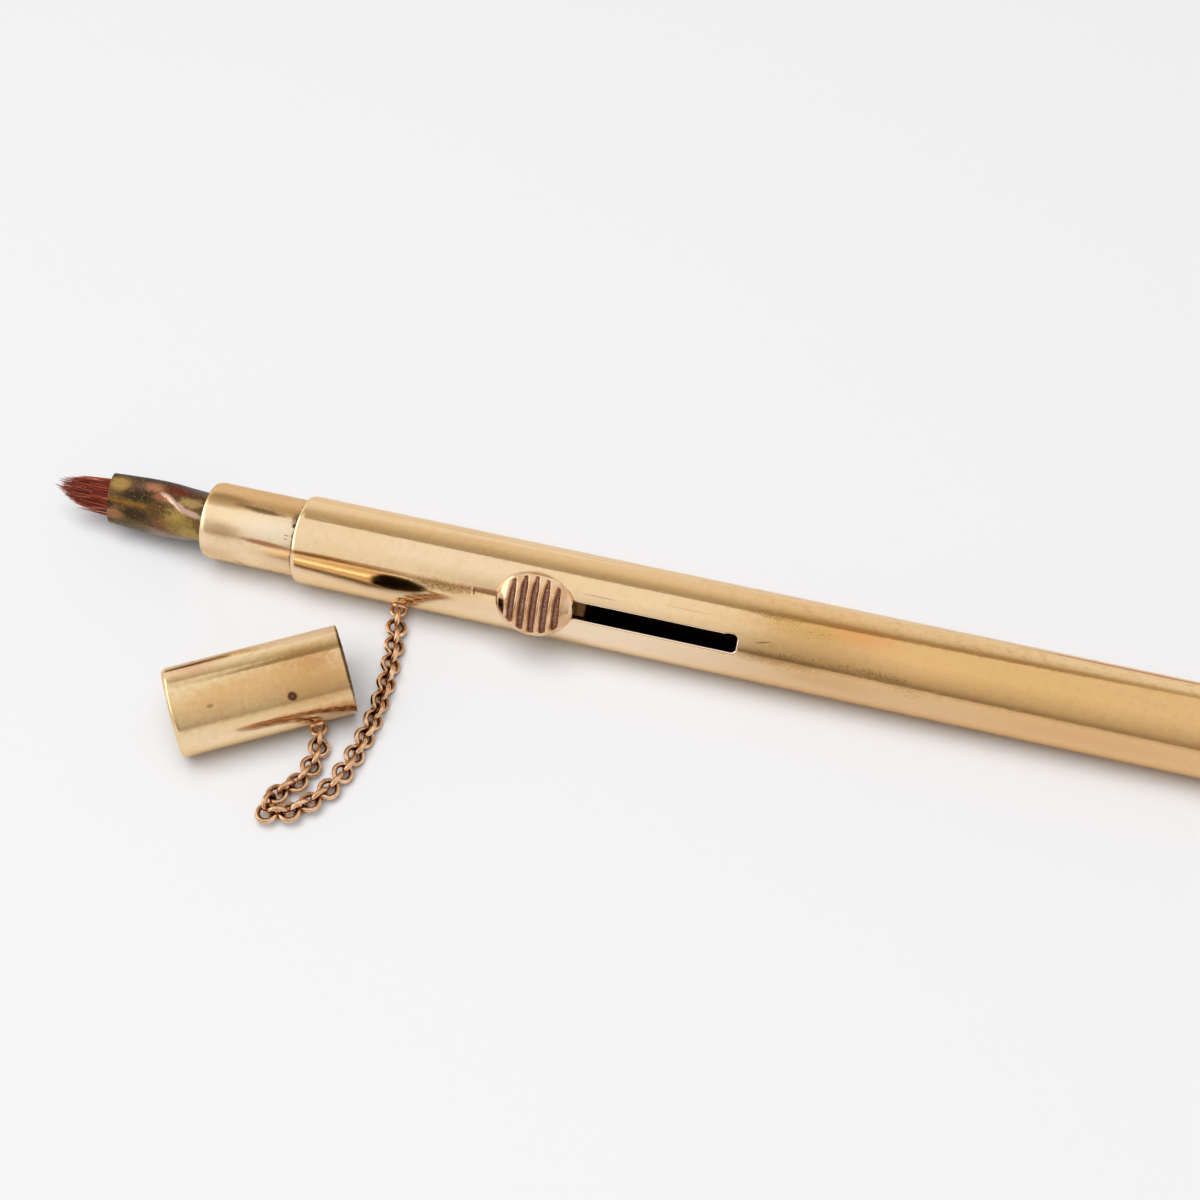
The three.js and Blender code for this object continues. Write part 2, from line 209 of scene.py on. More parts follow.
def makeCamera():
    view = bpy.data.objects.new("camera", bpy.data.cameras.new("camera"))
    bpy.context.scene.collection.objects.link(view)
    view.location = placeOf(*camera["eye"])["shift"]
    aim = placeOf(*camera["target"])["shift"] - view.location
    view.rotation_euler = aim.to_track_quat("-Z", "Y").to_euler()
    view.data.lens = camera["lens"]
    view.data.sensor_width = camera["sensor"]
    view.data.clip_start = 0.005
    bpy.context.scene.camera = view
    bpy.context.scene.view_settings.view_transform = "Standard"


makeCamera()

# Studio: a pale floor, a white tent above it, and flags that darken parts of the tent in the metal's polish

studio = {
    "floorTone": (0.925, 0.925, 0.935, 1.0),
    "farTone": (0.87, 0.87, 0.88, 1.0),
    "tentTone": (1.0, 1.0, 1.0, 1.0),
    "tentLight": 0.3,  # of the tent's light that falls on the floor, next to that seen in the metal
}


# Full strength for what is seen directly or in the metal, and the tent's lower light for what falls on the
# floor.
def seenStrength(graph, full=1.0):
    rays = graph.add("ShaderNodeLightPath").socket.node.outputs
    seen = Wire(graph, rays["Is Camera Ray"]).maths("MAXIMUM", Wire(graph, rays["Is Glossy Ray"]))
    seen = seen * (1 - Wire(graph, rays["Diffuse Depth"])).maths("MAXIMUM", 0.0)
    return studio["tentLight"] + seen * (full - studio["tentLight"])


def makeTent():
    world = bpy.data.worlds.new("whiteTent")
    bpy.context.scene.world = world
    world.use_nodes = True
    world.node_tree.nodes.clear()
    graph = Graph(world.node_tree)
    behind = graph.add("ShaderNodeLightPath")
    colour = graph.mix(behind, studio["tentTone"], studio["farTone"])
    sky = graph.add("ShaderNodeBackground", {}, {0: colour, 1: seenStrength(graph)})
    graph.add("ShaderNodeOutputWorld", {}, {0: sky})


def stageMaterial(name, build):
    material, graph = newMaterial(name)
    graph.add("ShaderNodeOutputMaterial", {}, {0: build(graph)})
    return material


# A strip from a near edge to a far edge, both lists of corners. Its UV runs along the edges and across them.
def stageStrip(name, near, far, material):
    mesh = bpy.data.meshes.new(name)
    corners = [Vector(corner) * 0.001 for corner in [*near, *far]]
    count = len(near)
    faces = [(i, i + 1, count + i + 1, count + i) for i in range(count - 1)]
    mesh.from_pydata(corners, [], faces)
    uv = mesh.uv_layers.new(name="strip")
    for loop in mesh.loops:
        i = loop.vertex_index
        uv.data[loop.index].uv = (i % count / (count - 1), i // count)
    mesh.materials.append(material)
    strip = bpy.data.objects.new(name, mesh)
    bpy.context.scene.collection.objects.link(strip)
    return strip


# A strip that spans from its near edge over a shift, and that only the metal sees.
def hangStrip(name, near, shift, material):
    far = [Vector(corner) + Vector(shift) for corner in near]
    strip = stageStrip(name, near, far, material)
    strip.visible_camera = False
    strip.visible_diffuse = False
    strip.visible_shadow = False


# Pale paper round the object, that passes into a plain pale tone further out.
def makeFloor():
    def paper(graph):
        x, y, _ = graph.parts(graph.add("ShaderNodeTexCoord", {}, out=3))
        outwards = (x * x + y * y) ** 0.5
        near = graph.add("ShaderNodeBsdfDiffuse", {}, {0: studio["floorTone"]})
        far = graph.add("ShaderNodeEmission", {}, {0: studio["farTone"], 1: seenStrength(graph)})
        return graph.add("ShaderNodeMixShader", {}, {0: outwards.step(0.25, 0.6), 1: near, 2: far})

    reach, level = 1500, -0.02
    near = [(-reach, -reach, level), (reach, -reach, level)]
    far = [(-reach, reach, level), (reach, reach, level)]
    stageStrip("floor", near, far, stageMaterial("floorPaper", paper))


# The stops run from a flag's near edge to its far one. The left stops hold at its left end.
flags = {
    "backFlag": {
        "near": [(-420, 222, 300), (-160, 222, 300), (-137, 118, 300), (-59, 130, 300), (-3, 143, 300),
                 (57, 221, 300), (122, 333, 300), (420, 620, 300)],
        "shift": (0, 1250, -330),
        "stops": [
            (0.0, (0.42, 0.35, 0.24, 1.0)),
            (0.05, (0.50, 0.42, 0.30, 1.0)),
            (0.1, (0.63, 0.55, 0.41, 1.0)),
            (0.17, (0.78, 0.69, 0.53, 1.0)),
            (0.3, (0.87, 0.78, 0.63, 1.0)),
            (1.0, (0.92, 0.84, 0.70, 1.0)),
        ],
        "leftStops": [
            (0.0, (0.50, 0.44, 0.34, 1.0)),
            (0.05, (0.62, 0.56, 0.45, 1.0)),
            (0.12, (0.80, 0.75, 0.67, 1.0)),
            (0.22, (0.94, 0.91, 0.87, 1.0)),
            (1.0, (1.0, 1.0, 0.98, 1.0)),
        ],
        "leftUntil": (0.14, 0.25),
        "rightLift": 0.45,
        "rightFrom": (0.72, 0.9),
    },
    "frontFlag": {
        "near": [(-420, -700, 190), (-150, -700, 190), (-110, -700, 90), (300, -700, 90), (420, -700, 90),
                 (900, -700, 90)],
        "shift": (0, 570, 310),
        "stops": [
            (0.0, (0.28, 0.23, 0.17, 1.0)),
            (0.2, (0.33, 0.29, 0.23, 1.0)),
            (0.42, (0.58, 0.55, 0.50, 1.0)),
            (0.6, (0.72, 0.70, 0.66, 1.0)),
            (0.8, (0.87, 0.86, 0.84, 1.0)),
            (1.0, (0.98, 0.98, 0.98, 1.0)),
        ],
        "leftStops": [
            (0.0, (0.40, 0.26, 0.17, 1.0)),
            (0.1, (0.43, 0.29, 0.19, 1.0)),
            (0.18, (0.80, 0.74, 0.66, 1.0)),
            (0.35, (0.93, 0.90, 0.86, 1.0)),
            (1.0, (1.0, 1.0, 1.0, 1.0)),
        ],
        "leftUntil": (0.2, 0.4),
        "rightLift": 0.35,
        "rightFrom": (0.42, 0.64),
    },
    "frontSkirt": {
        "near": [(-110, -700, 0), (900, -700, 0)],
        "shift": (0, 0, 90),
        "stops": [(0.0, (0.86, 0.84, 0.82, 1.0)), (1.0, (0.80, 0.77, 0.74, 1.0))],
    },
}


def makeFlag(name, flag):
    def cloth(graph):
        along, across, _ = graph.parts(graph.add("ShaderNodeUVMap", {"uv_map": "strip"}))
        shade = graph.add("ShaderNodeValToRGB", {"stops": flag["stops"]}, [across])
        if "leftStops" in flag:
            left = graph.add("ShaderNodeValToRGB", {"stops": flag["leftStops"]}, [across])
            shade = graph.mix(along.step(*flag["leftUntil"]), left, shade)
            shade = graph.mix(along.step(*flag["rightFrom"]) * flag["rightLift"], shade, (1.0, 1.0, 1.0, 1.0))
        return graph.add("ShaderNodeEmission", {}, {0: shade, 1: seenStrength(graph)})

    hangStrip(name, flag["near"], flag["shift"], stageMaterial(name + "Cloth", cloth))


# A bright card on the left, that only rims, ribs and links catch.
card = {
    "near": [(-500, -420, 90), (-500, 260, 90)],
    "shift": (0, 0, 230),
    "tone": (1.0, 0.98, 0.95, 1.0),
    "strength": 2.4,
}


def makeCard():
    def glow(graph):
        strength = seenStrength(graph, card["strength"])
        return graph.add("ShaderNodeEmission", {}, {0: card["tone"], 1: strength})

    hangStrip("leftCard", card["near"], card["shift"], stageMaterial("leftCardGlow", glow))


lamp = {"at": (-120, -180, 1050), "size": 900, "watts": 9.8}


# A soft lamp that lights the floor, and that the metal doesn't show.
def makeLamp():
    light = bpy.data.lights.new("softLamp", "AREA")
    light.size = lamp["size"] * 0.001
    light.energy = lamp["watts"]
    body = bpy.data.objects.new("softLamp", light)
    bpy.context.scene.collection.objects.link(body)
    body.location = Vector(lamp["at"]) * 0.001
    body.rotation_euler = (-body.location).to_track_quat("-Z", "Y").to_euler()
    body.visible_glossy = False
    body.visible_camera = False


makeTent()
makeFloor()
for flagName, flag in flags.items():
    makeFlag(flagName, flag)
makeCard()
makeLamp()
print("studio ready")


# Finishes

# Millimetres on a piece, whatever its place: x along it, round it from its top, and out from its axis.
def surfaceOf(graph, place, radius):
    where = graph.add("ShaderNodeTexCoord", {}, out=3)
    values = {"Vector": where, "Location": place["shift"], "Rotation": place["turn"],
              "Scale": (0.001, 0.001, 0.001)}
    local = graph.add("ShaderNodeMapping", {"vector_type": "TEXTURE"}, values)
    x, y, z = graph.parts(local)
    around = y.maths("ARCTAN2", z) * radius
    return {"local": local, "x": x, "round": around, "out": (y * y + z * z) ** 0.5}


# Millimetres in the part's own frame.
def millimetres(graph):
    where = graph.add("ShaderNodeTexCoord", {}, out=3)
    return graph.add("ShaderNodeMapping", {}, {"Vector": where, "Scale": (1000.0, 1000.0, 1000.0)})


# An oval mark: its place and its half sizes along and round a piece, how strongly it shows, and its colour as
# it is read from a screen. Its slope leans it over, and it may be duller than what is round it.
def mark(at, size, strength, shade=None, soft=0.5, ragged=0.8, slope=0.0, dull=0.0):
    colour = tone(*shade) if shade else None
    return {"at": at, "size": size, "strength": strength, "colour": colour, "soft": soft, "ragged": ragged,
            "slope": slope, "dull": dull}


# A mark as a mask: 1 in its middle and 0 outside it, with a soft and ragged edge.
def spot(surface, oval, ragged):
    along = surface["x"] - oval["at"][0]
    across = surface["round"] - along * oval["slope"] - oval["at"][1]
    along = along / oval["size"][0]
    across = across / oval["size"][1]
    reach = (along * along + across * across) ** 0.5
    return 1 - (reach + (ragged - 0.5) * oval["ragged"]).step(1 - oval["soft"], 1 + oval["soft"])


# Lays the marks of a list over a colour. Gives the colour and how much duller they make the surface.
def laidMarks(graph, surface, colour, marks, ragged):
    dull = 0.0
    for oval in marks:
        mask = spot(surface, oval, ragged) * oval["strength"]
        colour = graph.mix(mask, colour, oval["colour"])
        dull = mask * oval["dull"] + dull
    return colour, dull


# The bevel round the slot, which gets a painted highlight: 1 on it and 0 beside it.
def bevelHighlightMask(surface, slot):
    along = (surface["x"] - slot["middle"]).maths("ABSOLUTE") - slot["length"] / 2 + slot["corner"]
    across = surface["round"].maths("ABSOLUTE") - slot["half"] + slot["corner"]
    along = along.maths("MAXIMUM", 0.0)
    across = across.maths("MAXIMUM", 0.0)
    reach = (along * along + across * across) ** 0.5 - slot["corner"]
    return reach.step(0.01, 0.05) * (1 - reach.step(slot["width"] - 0.05, slot["width"]))


# The inside of a tube between two places along it: 1 there and 0 elsewhere.
def boreMask(surface, bore):
    inside = 1 - surface["out"].step(bore["radius"] + 0.01, bore["radius"] + 0.08)
    inside = inside * surface["x"].step(bore["from"], bore["from"] + 0.2)
    return inside * (1 - surface["x"].step(bore["to"], bore["to"] + 0.2))


# The principled shader, with a bump where there is a height. The bump's depth is in metres.
def closeMaterial(graph, colour, metallic, roughness, height=None, depth=0.00001, edge=None, shine=0.5):
    values = {"Base Color": colour, "Metallic": metallic, "Roughness": roughness, "Specular IOR Level": shine}
    if edge is not None:
        values["Specular Tint"] = edge
    if height is not None:
        relief = {"Strength": 1.0, "Distance": depth, "Height": height}
        values["Normal"] = graph.add("ShaderNodeBump", {}, relief)
    shader = graph.add("ShaderNodeBsdfPrincipled", {}, values)
    graph.add("ShaderNodeOutputMaterial", {}, {0: shader})


# Worn gilding: two tones that drift along the piece, specks, hairline scratches and marks, and a darker bore.
# Some marks are tone and tarnish, and some are painted reflections, painted highlights and painted shade.
def giltFinish(name, place, look):
    material, graph = newMaterial(name)
    surface = surfaceOf(graph, place, look["radius"])
    local = surface["local"]
    drift = graph.noise(graph.stretched(local, 0.35, 1.0, 1.0), 0.16, 3.0, 0.55)
    colour = graph.mix(drift.step(0.38, 0.64), look["pale"], look["deep"])
    mottle = graph.noise(local, 1.1, 5.0, 0.7)
    ragged = graph.noise(local, 1.6, 4.0, 0.65, 0.6)
    worn = 0.0
    if "right" in look:
        right = look["right"]
        worn = (surface["x"] + (drift - 0.5) * right["drift"]).step(*right["from"])
        rise = (surface["x"] - right["riseFrom"]).maths("MAXIMUM", 0.0) * right["rise"]
        onFront = 1 - (surface["round"] - rise).step(*right["until"])
        colour = graph.mix(worn * onFront, colour, right["tone"])
    patches = mottle.step(0.46, 0.72) * (look["mottle"] + worn * 0.35)
    colour = graph.mix(patches, colour, look["tarnish"])
    colour, dull = laidMarks(graph, surface, colour, look["marks"], ragged)
    if "slot" in look:
        # The bevel round the slot is painted pale cream, a painted highlight.
        colour = graph.mix(bevelHighlightMask(surface, look["slot"]), colour, look["slot"]["tone"])
    dense = 0.0
    for field in look["speckled"]:
        dense = spot(surface, field, ragged) * field["strength"] + dense
    speck = (graph.noise(local, 6.5, 5.0, 0.72) + dense).step(0.66, 0.74)
    colour = graph.mix(speck * look["specks"], colour, look["speck"])
    lengthwise = graph.noise(graph.stretched(local, 0.12, 3.0, 3.0), 4.0, 3.0, 0.7)
    crosswise = graph.noise(graph.stretched(local, 1.4, 0.25, 0.25), 5.0, 2.0, 0.6)
    scratches = lengthwise.step(0.63, 0.7) + crosswise.step(0.7, 0.74)
    inside = boreMask(surface, look["bore"])
    colour = graph.mix(inside, colour, look["bore"]["tone"])
    roughness = look["rough"] + dull + mottle.step(0.4, 0.8) * 0.05
    roughness = roughness + scratches * 0.03 + speck * 0.15 + inside * 0.3
    height = graph.noise(local, 0.9, 2.0) * look["wave"] + graph.noise(local, 9.0, 2.0) * look["grain"]
    height = height - scratches * look["scratch"] - speck * 0.06
    closeMaterial(graph, colour, 1.0, roughness, height, edge=look["edge"])
    return material


giltCase = giltFinish("giltCase", casePlace, {
    "radius": 5.0,
    "pale": tone(243, 214, 174),
    "deep": tone(240, 208, 164),
    "right": {  # the redder gilding of the rear half, up to a line that rises along the tube
        "tone": tone(226, 183, 126),
        "from": (44.0, 60.0),
        "drift": 18,
        "until": (4.1, 4.6),
        "riseFrom": 38.7,
        "rise": 0.02,
    },
    "tarnish": tone(212, 168, 114),
    "speck": tone(140, 96, 50),
    "edge": tone(248, 232, 210),
    "mottle": 0.2,
    "specks": 0.6,
    "bore": {"radius": 4.55, "from": 0.1, "to": 107.8, "tone": tone(46, 30, 20)},
    "slot": {
        "middle": 38.15,
        "length": 24.3,
        "half": 0.94,
        "corner": 0.5,
        "width": 0.17,
        # pale cream of the painted highlight on the slot's bevel
        "tone": tone(254, 234, 208),
    },
    "rough": 0.1,
    "wave": 0.8,
    "grain": 0.06,
    "scratch": 0.14,
    "marks": [
        mark((62.4, 3.75), (3.8, 1.0), 0.6, (230, 158, 92), soft=0.9),
        mark((56.6, 3.4), (4.2, 1.3), 0.5, (214, 172, 98), soft=0.9),
        mark((57.5, 1.5), (6.5, 1.5), 0.4, (184, 148, 96), soft=0.9),
        mark((80.0, 2.6), (7.0, 1.6), 0.4, (224, 180, 110), soft=0.9),
        mark((49.5, -2.4), (6.0, 1.6), 0.4, (218, 176, 130), soft=0.9),
        # Painted reflections along the front of the tube: brown streaks for the mirrored chain and its
        # shadow, and a gold streak for the mirrored cap.
        mark((6.6, -0.02), (7.4, 0.22), 0.7, (172, 120, 72), soft=0.4, ragged=0.4, slope=0.016),
        mark((3.2, -0.14), (3.6, 0.3), 0.85, (168, 112, 64), ragged=0.5, slope=0.016),
        mark((7.4, -0.44), (7.0, 0.26), 0.85, (232, 178, 104), soft=0.6, ragged=0.3),
        # A dark speckled blotch, partly tarnish and partly a painted dark reflection.
        mark((17.9, -0.42), (3.0, 0.6), 0.75, (150, 104, 52), soft=0.6, ragged=1.3, slope=-0.02, dull=0.1),
        mark((20.5, -0.7), (6.5, 1.4), 0.5, (236, 196, 140), soft=0.9),
        mark((38.0, -3.1), (15.0, 1.9), 0.6, (246, 228, 204), soft=0.8),
        mark((64.0, -3.1), (19.0, 1.9), 0.65, (222, 190, 152), soft=0.8, ragged=1.2),
        mark((96.0, -3.1), (18.0, 1.9), 0.5, (230, 192, 150), soft=0.8),
        mark((55.0, -0.75), (5.0, 0.55), 0.55, (168, 130, 84), soft=0.8, ragged=2.2),
        mark((60.5, -2.0), (4.5, 0.9), 0.5, (208, 164, 114), soft=0.8, ragged=2.0),
        mark((71.0, 2.2), (4.0, 1.6), 0.5, (232, 184, 124), soft=0.9, ragged=2.0),
        mark((88.0, -2.2), (8.0, 0.8), 0.5, (222, 170, 116), soft=0.9, ragged=2.2),
        mark((22.9, 0.07), (2.9, 0.26), 0.75, (150, 98, 62)),
        mark((20.9, -0.2), (0.14, 0.5), 0.9, (246, 220, 180), soft=0.3),
        mark((21.15, -0.2), (0.1, 0.42), 0.8, (92, 60, 36), soft=0.4),
        mark((34.9, 2.05), (1.8, 0.08), 0.45, (160, 118, 78)),
        mark((44.4, 2.7), (2.4, 0.07), 0.3, (168, 126, 84)),
        mark((53.1, 0.95), (0.7, 0.09), 0.75, (128, 92, 56), slope=0.25),
        mark((92.5, 7.75), (11.0, 0.24), 0.85, (172, 82, 42)),
    ],
    "speckled": [
        mark((53.2, 4.1), (3.2, 0.5), 0.2, soft=0.8),
        mark((57.5, 2.9), (4.5, 0.9), 0.13, soft=0.8),
        mark((59.5, 0.3), (6.5, 0.6), 0.13, soft=0.9),
        mark((66.5, 0.0), (3.4, 0.5), 0.15, soft=0.9),
        mark((69.0, -1.2), (2.4, 0.9), 0.14, soft=0.9),
        mark((17.4, -0.45), (3.8, 0.7), 0.2, soft=0.7),
        mark((54.0, -0.8), (3.4, 0.8), 0.13, soft=0.8),
        mark((82.0, 1.4), (9.0, 1.6), 0.08, soft=0.9),
    ],
})

giltNeck = giltFinish("giltNeck", casePlace, {
    "radius": 4.35,
    "pale": tone(246, 220, 182),
    "deep": tone(238, 208, 166),
    "tarnish": tone(222, 184, 138),
    "speck": tone(110, 80, 56),
    "edge": tone(248, 232, 210),
    "mottle": 0.3,
    "specks": 0.4,
    "bore": {"radius": 3.95, "from": -10.9, "to": 20.0, "tone": tone(60, 40, 28)},
    "rough": 0.25,
    "wave": 1.4,
    "grain": 0.3,
    "scratch": 0.2,
    "marks": [
        # The darker tan band along the top of the neck, darker still at its left end, is a painted
        # reflection.
        mark((-5.5, 5.5), (16.0, 2.45), 0.85, (222, 180, 126), soft=0.06, ragged=0.08, slope=0.05),
        mark((-8.7, 3.85), (2.7, 0.9), 0.75, (178, 142, 96), soft=0.4, ragged=0.5),
        mark((-4.4, 3.46), (2.5, 0.28), 0.85, (118, 96, 56), ragged=1.2, slope=-0.06, dull=0.1),
        # A cream patch and a whitish patch in the middle are painted highlights.
        mark((-7.2, 2.1), (4.4, 0.9), 0.6, (255, 228, 182), soft=0.8),
        mark((-3.0, 1.3), (3.4, 1.2), 0.6, (250, 234, 212), soft=0.9),
        mark((-8.6, 0.3), (2.2, 0.8), 0.75, (182, 150, 106), soft=0.7),
        mark((-3.0, -0.17), (2.9, 0.28), 0.85, (178, 114, 76), ragged=1.0, slope=-0.03),
        mark((-9.2, -2.9), (2.6, 0.9), 0.55, (208, 170, 126), soft=0.8),
        mark((-1.6, -2.6), (2.2, 1.6), 0.45, (218, 182, 140), soft=0.9),
        mark((-6.4, -4.05), (0.62, 0.13), 0.85, (86, 60, 42), slope=-0.5),
        mark((-0.9, 1.25), (0.3, 0.07), 0.7, (140, 106, 76), soft=0.4),
        mark((-0.95, 0.85), (0.22, 0.06), 0.7, (140, 106, 76), soft=0.4),
        mark((-0.25, 2.5), (0.3, 0.3), 0.95, (50, 38, 34), soft=0.4, ragged=1.2),
        mark((-0.3, 3.3), (0.45, 0.7), 0.7, (120, 92, 60), soft=0.6, ragged=1.8),
        mark((-0.05, 1.0), (0.2, 7.5), 0.85, (60, 42, 32), ragged=3.0, dull=0.2),
    ],
    "speckled": [
        mark((-4.4, 3.6), (3.0, 0.55), 0.24, soft=0.8),
        mark((-7.4, -3.6), (2.4, 0.6), 0.12, soft=0.8),
        mark((-0.3, 0.0), (0.5, 6.0), 0.14, soft=0.8),
    ],
})

giltCap = giltFinish("giltCap", capPlace, {
    "radius": 4.9,
    "pale": tone(240, 212, 168),
    "deep": tone(234, 201, 150),
    "tarnish": tone(204, 160, 104),
    "speck": tone(140, 98, 56),
    "edge": tone(248, 232, 210),
    "mottle": 0.4,
    "specks": 0.5,
    "bore": {"radius": 4.45, "from": -18.2, "to": 20.0, "tone": tone(150, 108, 52)},
    "rough": 0.12,
    "wave": 0.9,
    "grain": 0.08,
    "scratch": 0.14,
    "marks": [
        mark((-15.7, 2.2), (2.4, 1.1), 0.65, (226, 172, 142), soft=0.9),
        mark((-4.2, -0.7), (2.6, 1.3), 0.55, (210, 158, 104), soft=0.8, ragged=1.8),
        mark((-9.5, -1.6), (4.4, 1.2), 0.55, (214, 168, 110), soft=0.9, ragged=2.0),
        mark((-14.0, -2.4), (3.0, 1.0), 0.5, (214, 170, 112), soft=0.9, ragged=2.0),
        mark((-3.2, -1.3), (1.4, 0.8), 0.5, (190, 126, 74), soft=0.9, ragged=2.2),
        mark((-9.0, -7.6), (9.0, 1.3), 0.5, (250, 228, 196), soft=0.9),
        mark((-9.7, 0.05), (9.6, 0.3), 0.45, (186, 150, 98), soft=0.9, ragged=2.6),
        # Two broad darker, warmer patches over the front of the cap are a painted reflection of the darker
        # studio in front of it.
        mark((-9.5, -3.1), (12.0, 1.8), 0.6, (216, 172, 112), soft=0.8, ragged=1.2),
        mark((-3.0, -3.6), (5.0, 2.6), 0.7, (200, 152, 94), soft=0.9, ragged=1.2),
        mark((-14.86, -3.1), (0.36, 0.2), 0.6, (120, 84, 44), soft=0.6),
        # The rivet's hole is painted on the skin: a dark ring of painted shade, with the rivet's head paler
        # in its middle.
        mark((-6.36, -4.3), (0.5, 0.5), 0.95, (84, 42, 26), soft=0.3, ragged=0.5, dull=0.2),
        mark((-6.36, -4.3), (0.22, 0.22), 0.75, (140, 92, 76), soft=0.6, ragged=0.5),
        # Pale, duller marks along the top edge are painted light, laid over the dark reflection of the tube's
        # underside.
        mark((-3.6, 3.7), (6.6, 1.7), 0.75, (252, 234, 212), dull=0.55),
        mark((-9.5, 4.9), (16.0, 1.3), 0.7, (252, 230, 200), ragged=0.2, dull=0.4),
        mark((-4.4, -6.7), (6.0, 0.45), 0.6, (214, 150, 88), soft=0.8, ragged=1.6, slope=-0.04),
        # Dark brown at the lower right is a painted shadow of the chain and its eye.
        mark((-1.6, -7.9), (3.6, 1.1), 0.75, (150, 104, 62), soft=0.8),
        # A dark line along the mouth's edge is painted shade, for the dark inside of the mouth.
        mark((0.02, -1.6), (0.36, 5.6), 0.95, (84, 62, 36), soft=0.25, ragged=0.3),
    ],
    "speckled": [
        mark((-7.0, -1.6), (4.0, 2.0), 0.06, soft=0.9),
    ],
})

buttonLook = {
    "pale": tone(232, 196, 160),
    "deep": tone(212, 170, 130),
    "dirtInShade": tone(74, 36, 30),
    "dirtMiddle": tone(128, 82, 70),
    "dirtPale": tone(186, 142, 116),
    "rough": 0.12,
}


# The button's gilding is worn to a rose tone. The dirt in its grooves is grainy on one side, and on the side
# that faces right, away from the light on the left, it is painted darker as painted shade.
def buttonFinish():
    material, graph = newMaterial("roseButton")
    surface = surfaceOf(graph, casePlace, 5.0)
    local = surface["local"]
    drift = graph.noise(local, 0.5, 3.0)
    colour = graph.mix(drift.step(0.4, 0.62), buttonLook["pale"], buttonLook["deep"])
    depth = graph.attribute("grooveDepth")
    phase = graph.attribute("groovePhase")
    ragged = graph.noise(graph.stretched(local, 1.0, 0.45, 1.0), 3.4, 4.0, 0.65)
    reach = phase + (ragged - 0.5) * 0.2
    dirt = (depth + (ragged - 0.5) * 0.35).step(0.55, 0.85) * (1 - reach.step(0.7, 0.82))
    grain = graph.noise(graph.stretched(local, 1.0, 0.6, 1.0), 6.5, 4.0, 0.65)
    grainy = grain.step(0.44, 0.62) * reach.step(0.3, 0.6)
    # The groove's right-facing side gets the darker tone, a painted shade.
    across = graph.mix(reach.step(0.38, 0.62), buttonLook["dirtInShade"], buttonLook["dirtMiddle"])
    dirtTone = graph.mix(grainy, across, buttonLook["dirtPale"])
    colour = graph.mix(dirt * 0.96, colour, dirtTone)
    roughness = buttonLook["rough"] + dirt * 0.3
    scratches = graph.noise(graph.stretched(local, 2.0, 0.3, 0.3), 3.0, 3.0, 0.7).step(0.62, 0.72)
    height = graph.noise(local, 1.4, 2.0) * 0.5 + grain * dirt * 1.2 - scratches * 0.15
    closeMaterial(graph, colour, 1.0 - dirt * 0.5, roughness, height, 0.00002)
    return material


# Copper-coloured wire, polished on its outer side, with shade painted dark brown on the inner side of each
# link.
def copperFinish():
    material, graph = newMaterial("copperLinks")
    local = millimetres(graph)
    drift = graph.noise(local, 0.8, 3.0)
    colour = graph.mix(drift.step(0.35, 0.65), tone(240, 200, 162), tone(212, 166, 122))
    worn = graph.noise(local, 2.6, 4.0, 0.65)
    inner = graph.attribute("innerSide")
    # painted shade on the inner side of each link
    colour = graph.mix((inner + (worn - 0.5) * 0.7).step(0.34, 0.76) * 0.92, colour, tone(104, 60, 38))
    colour = graph.mix(worn.step(0.54, 0.7) * 0.6, colour, tone(154, 104, 68))
    roughness = 0.1 + worn.step(0.4, 0.8) * 0.12
    height = graph.noise(local, 4.0, 3.0) * 0.7
    closeMaterial(graph, colour, 1.0, roughness, height)
    return material


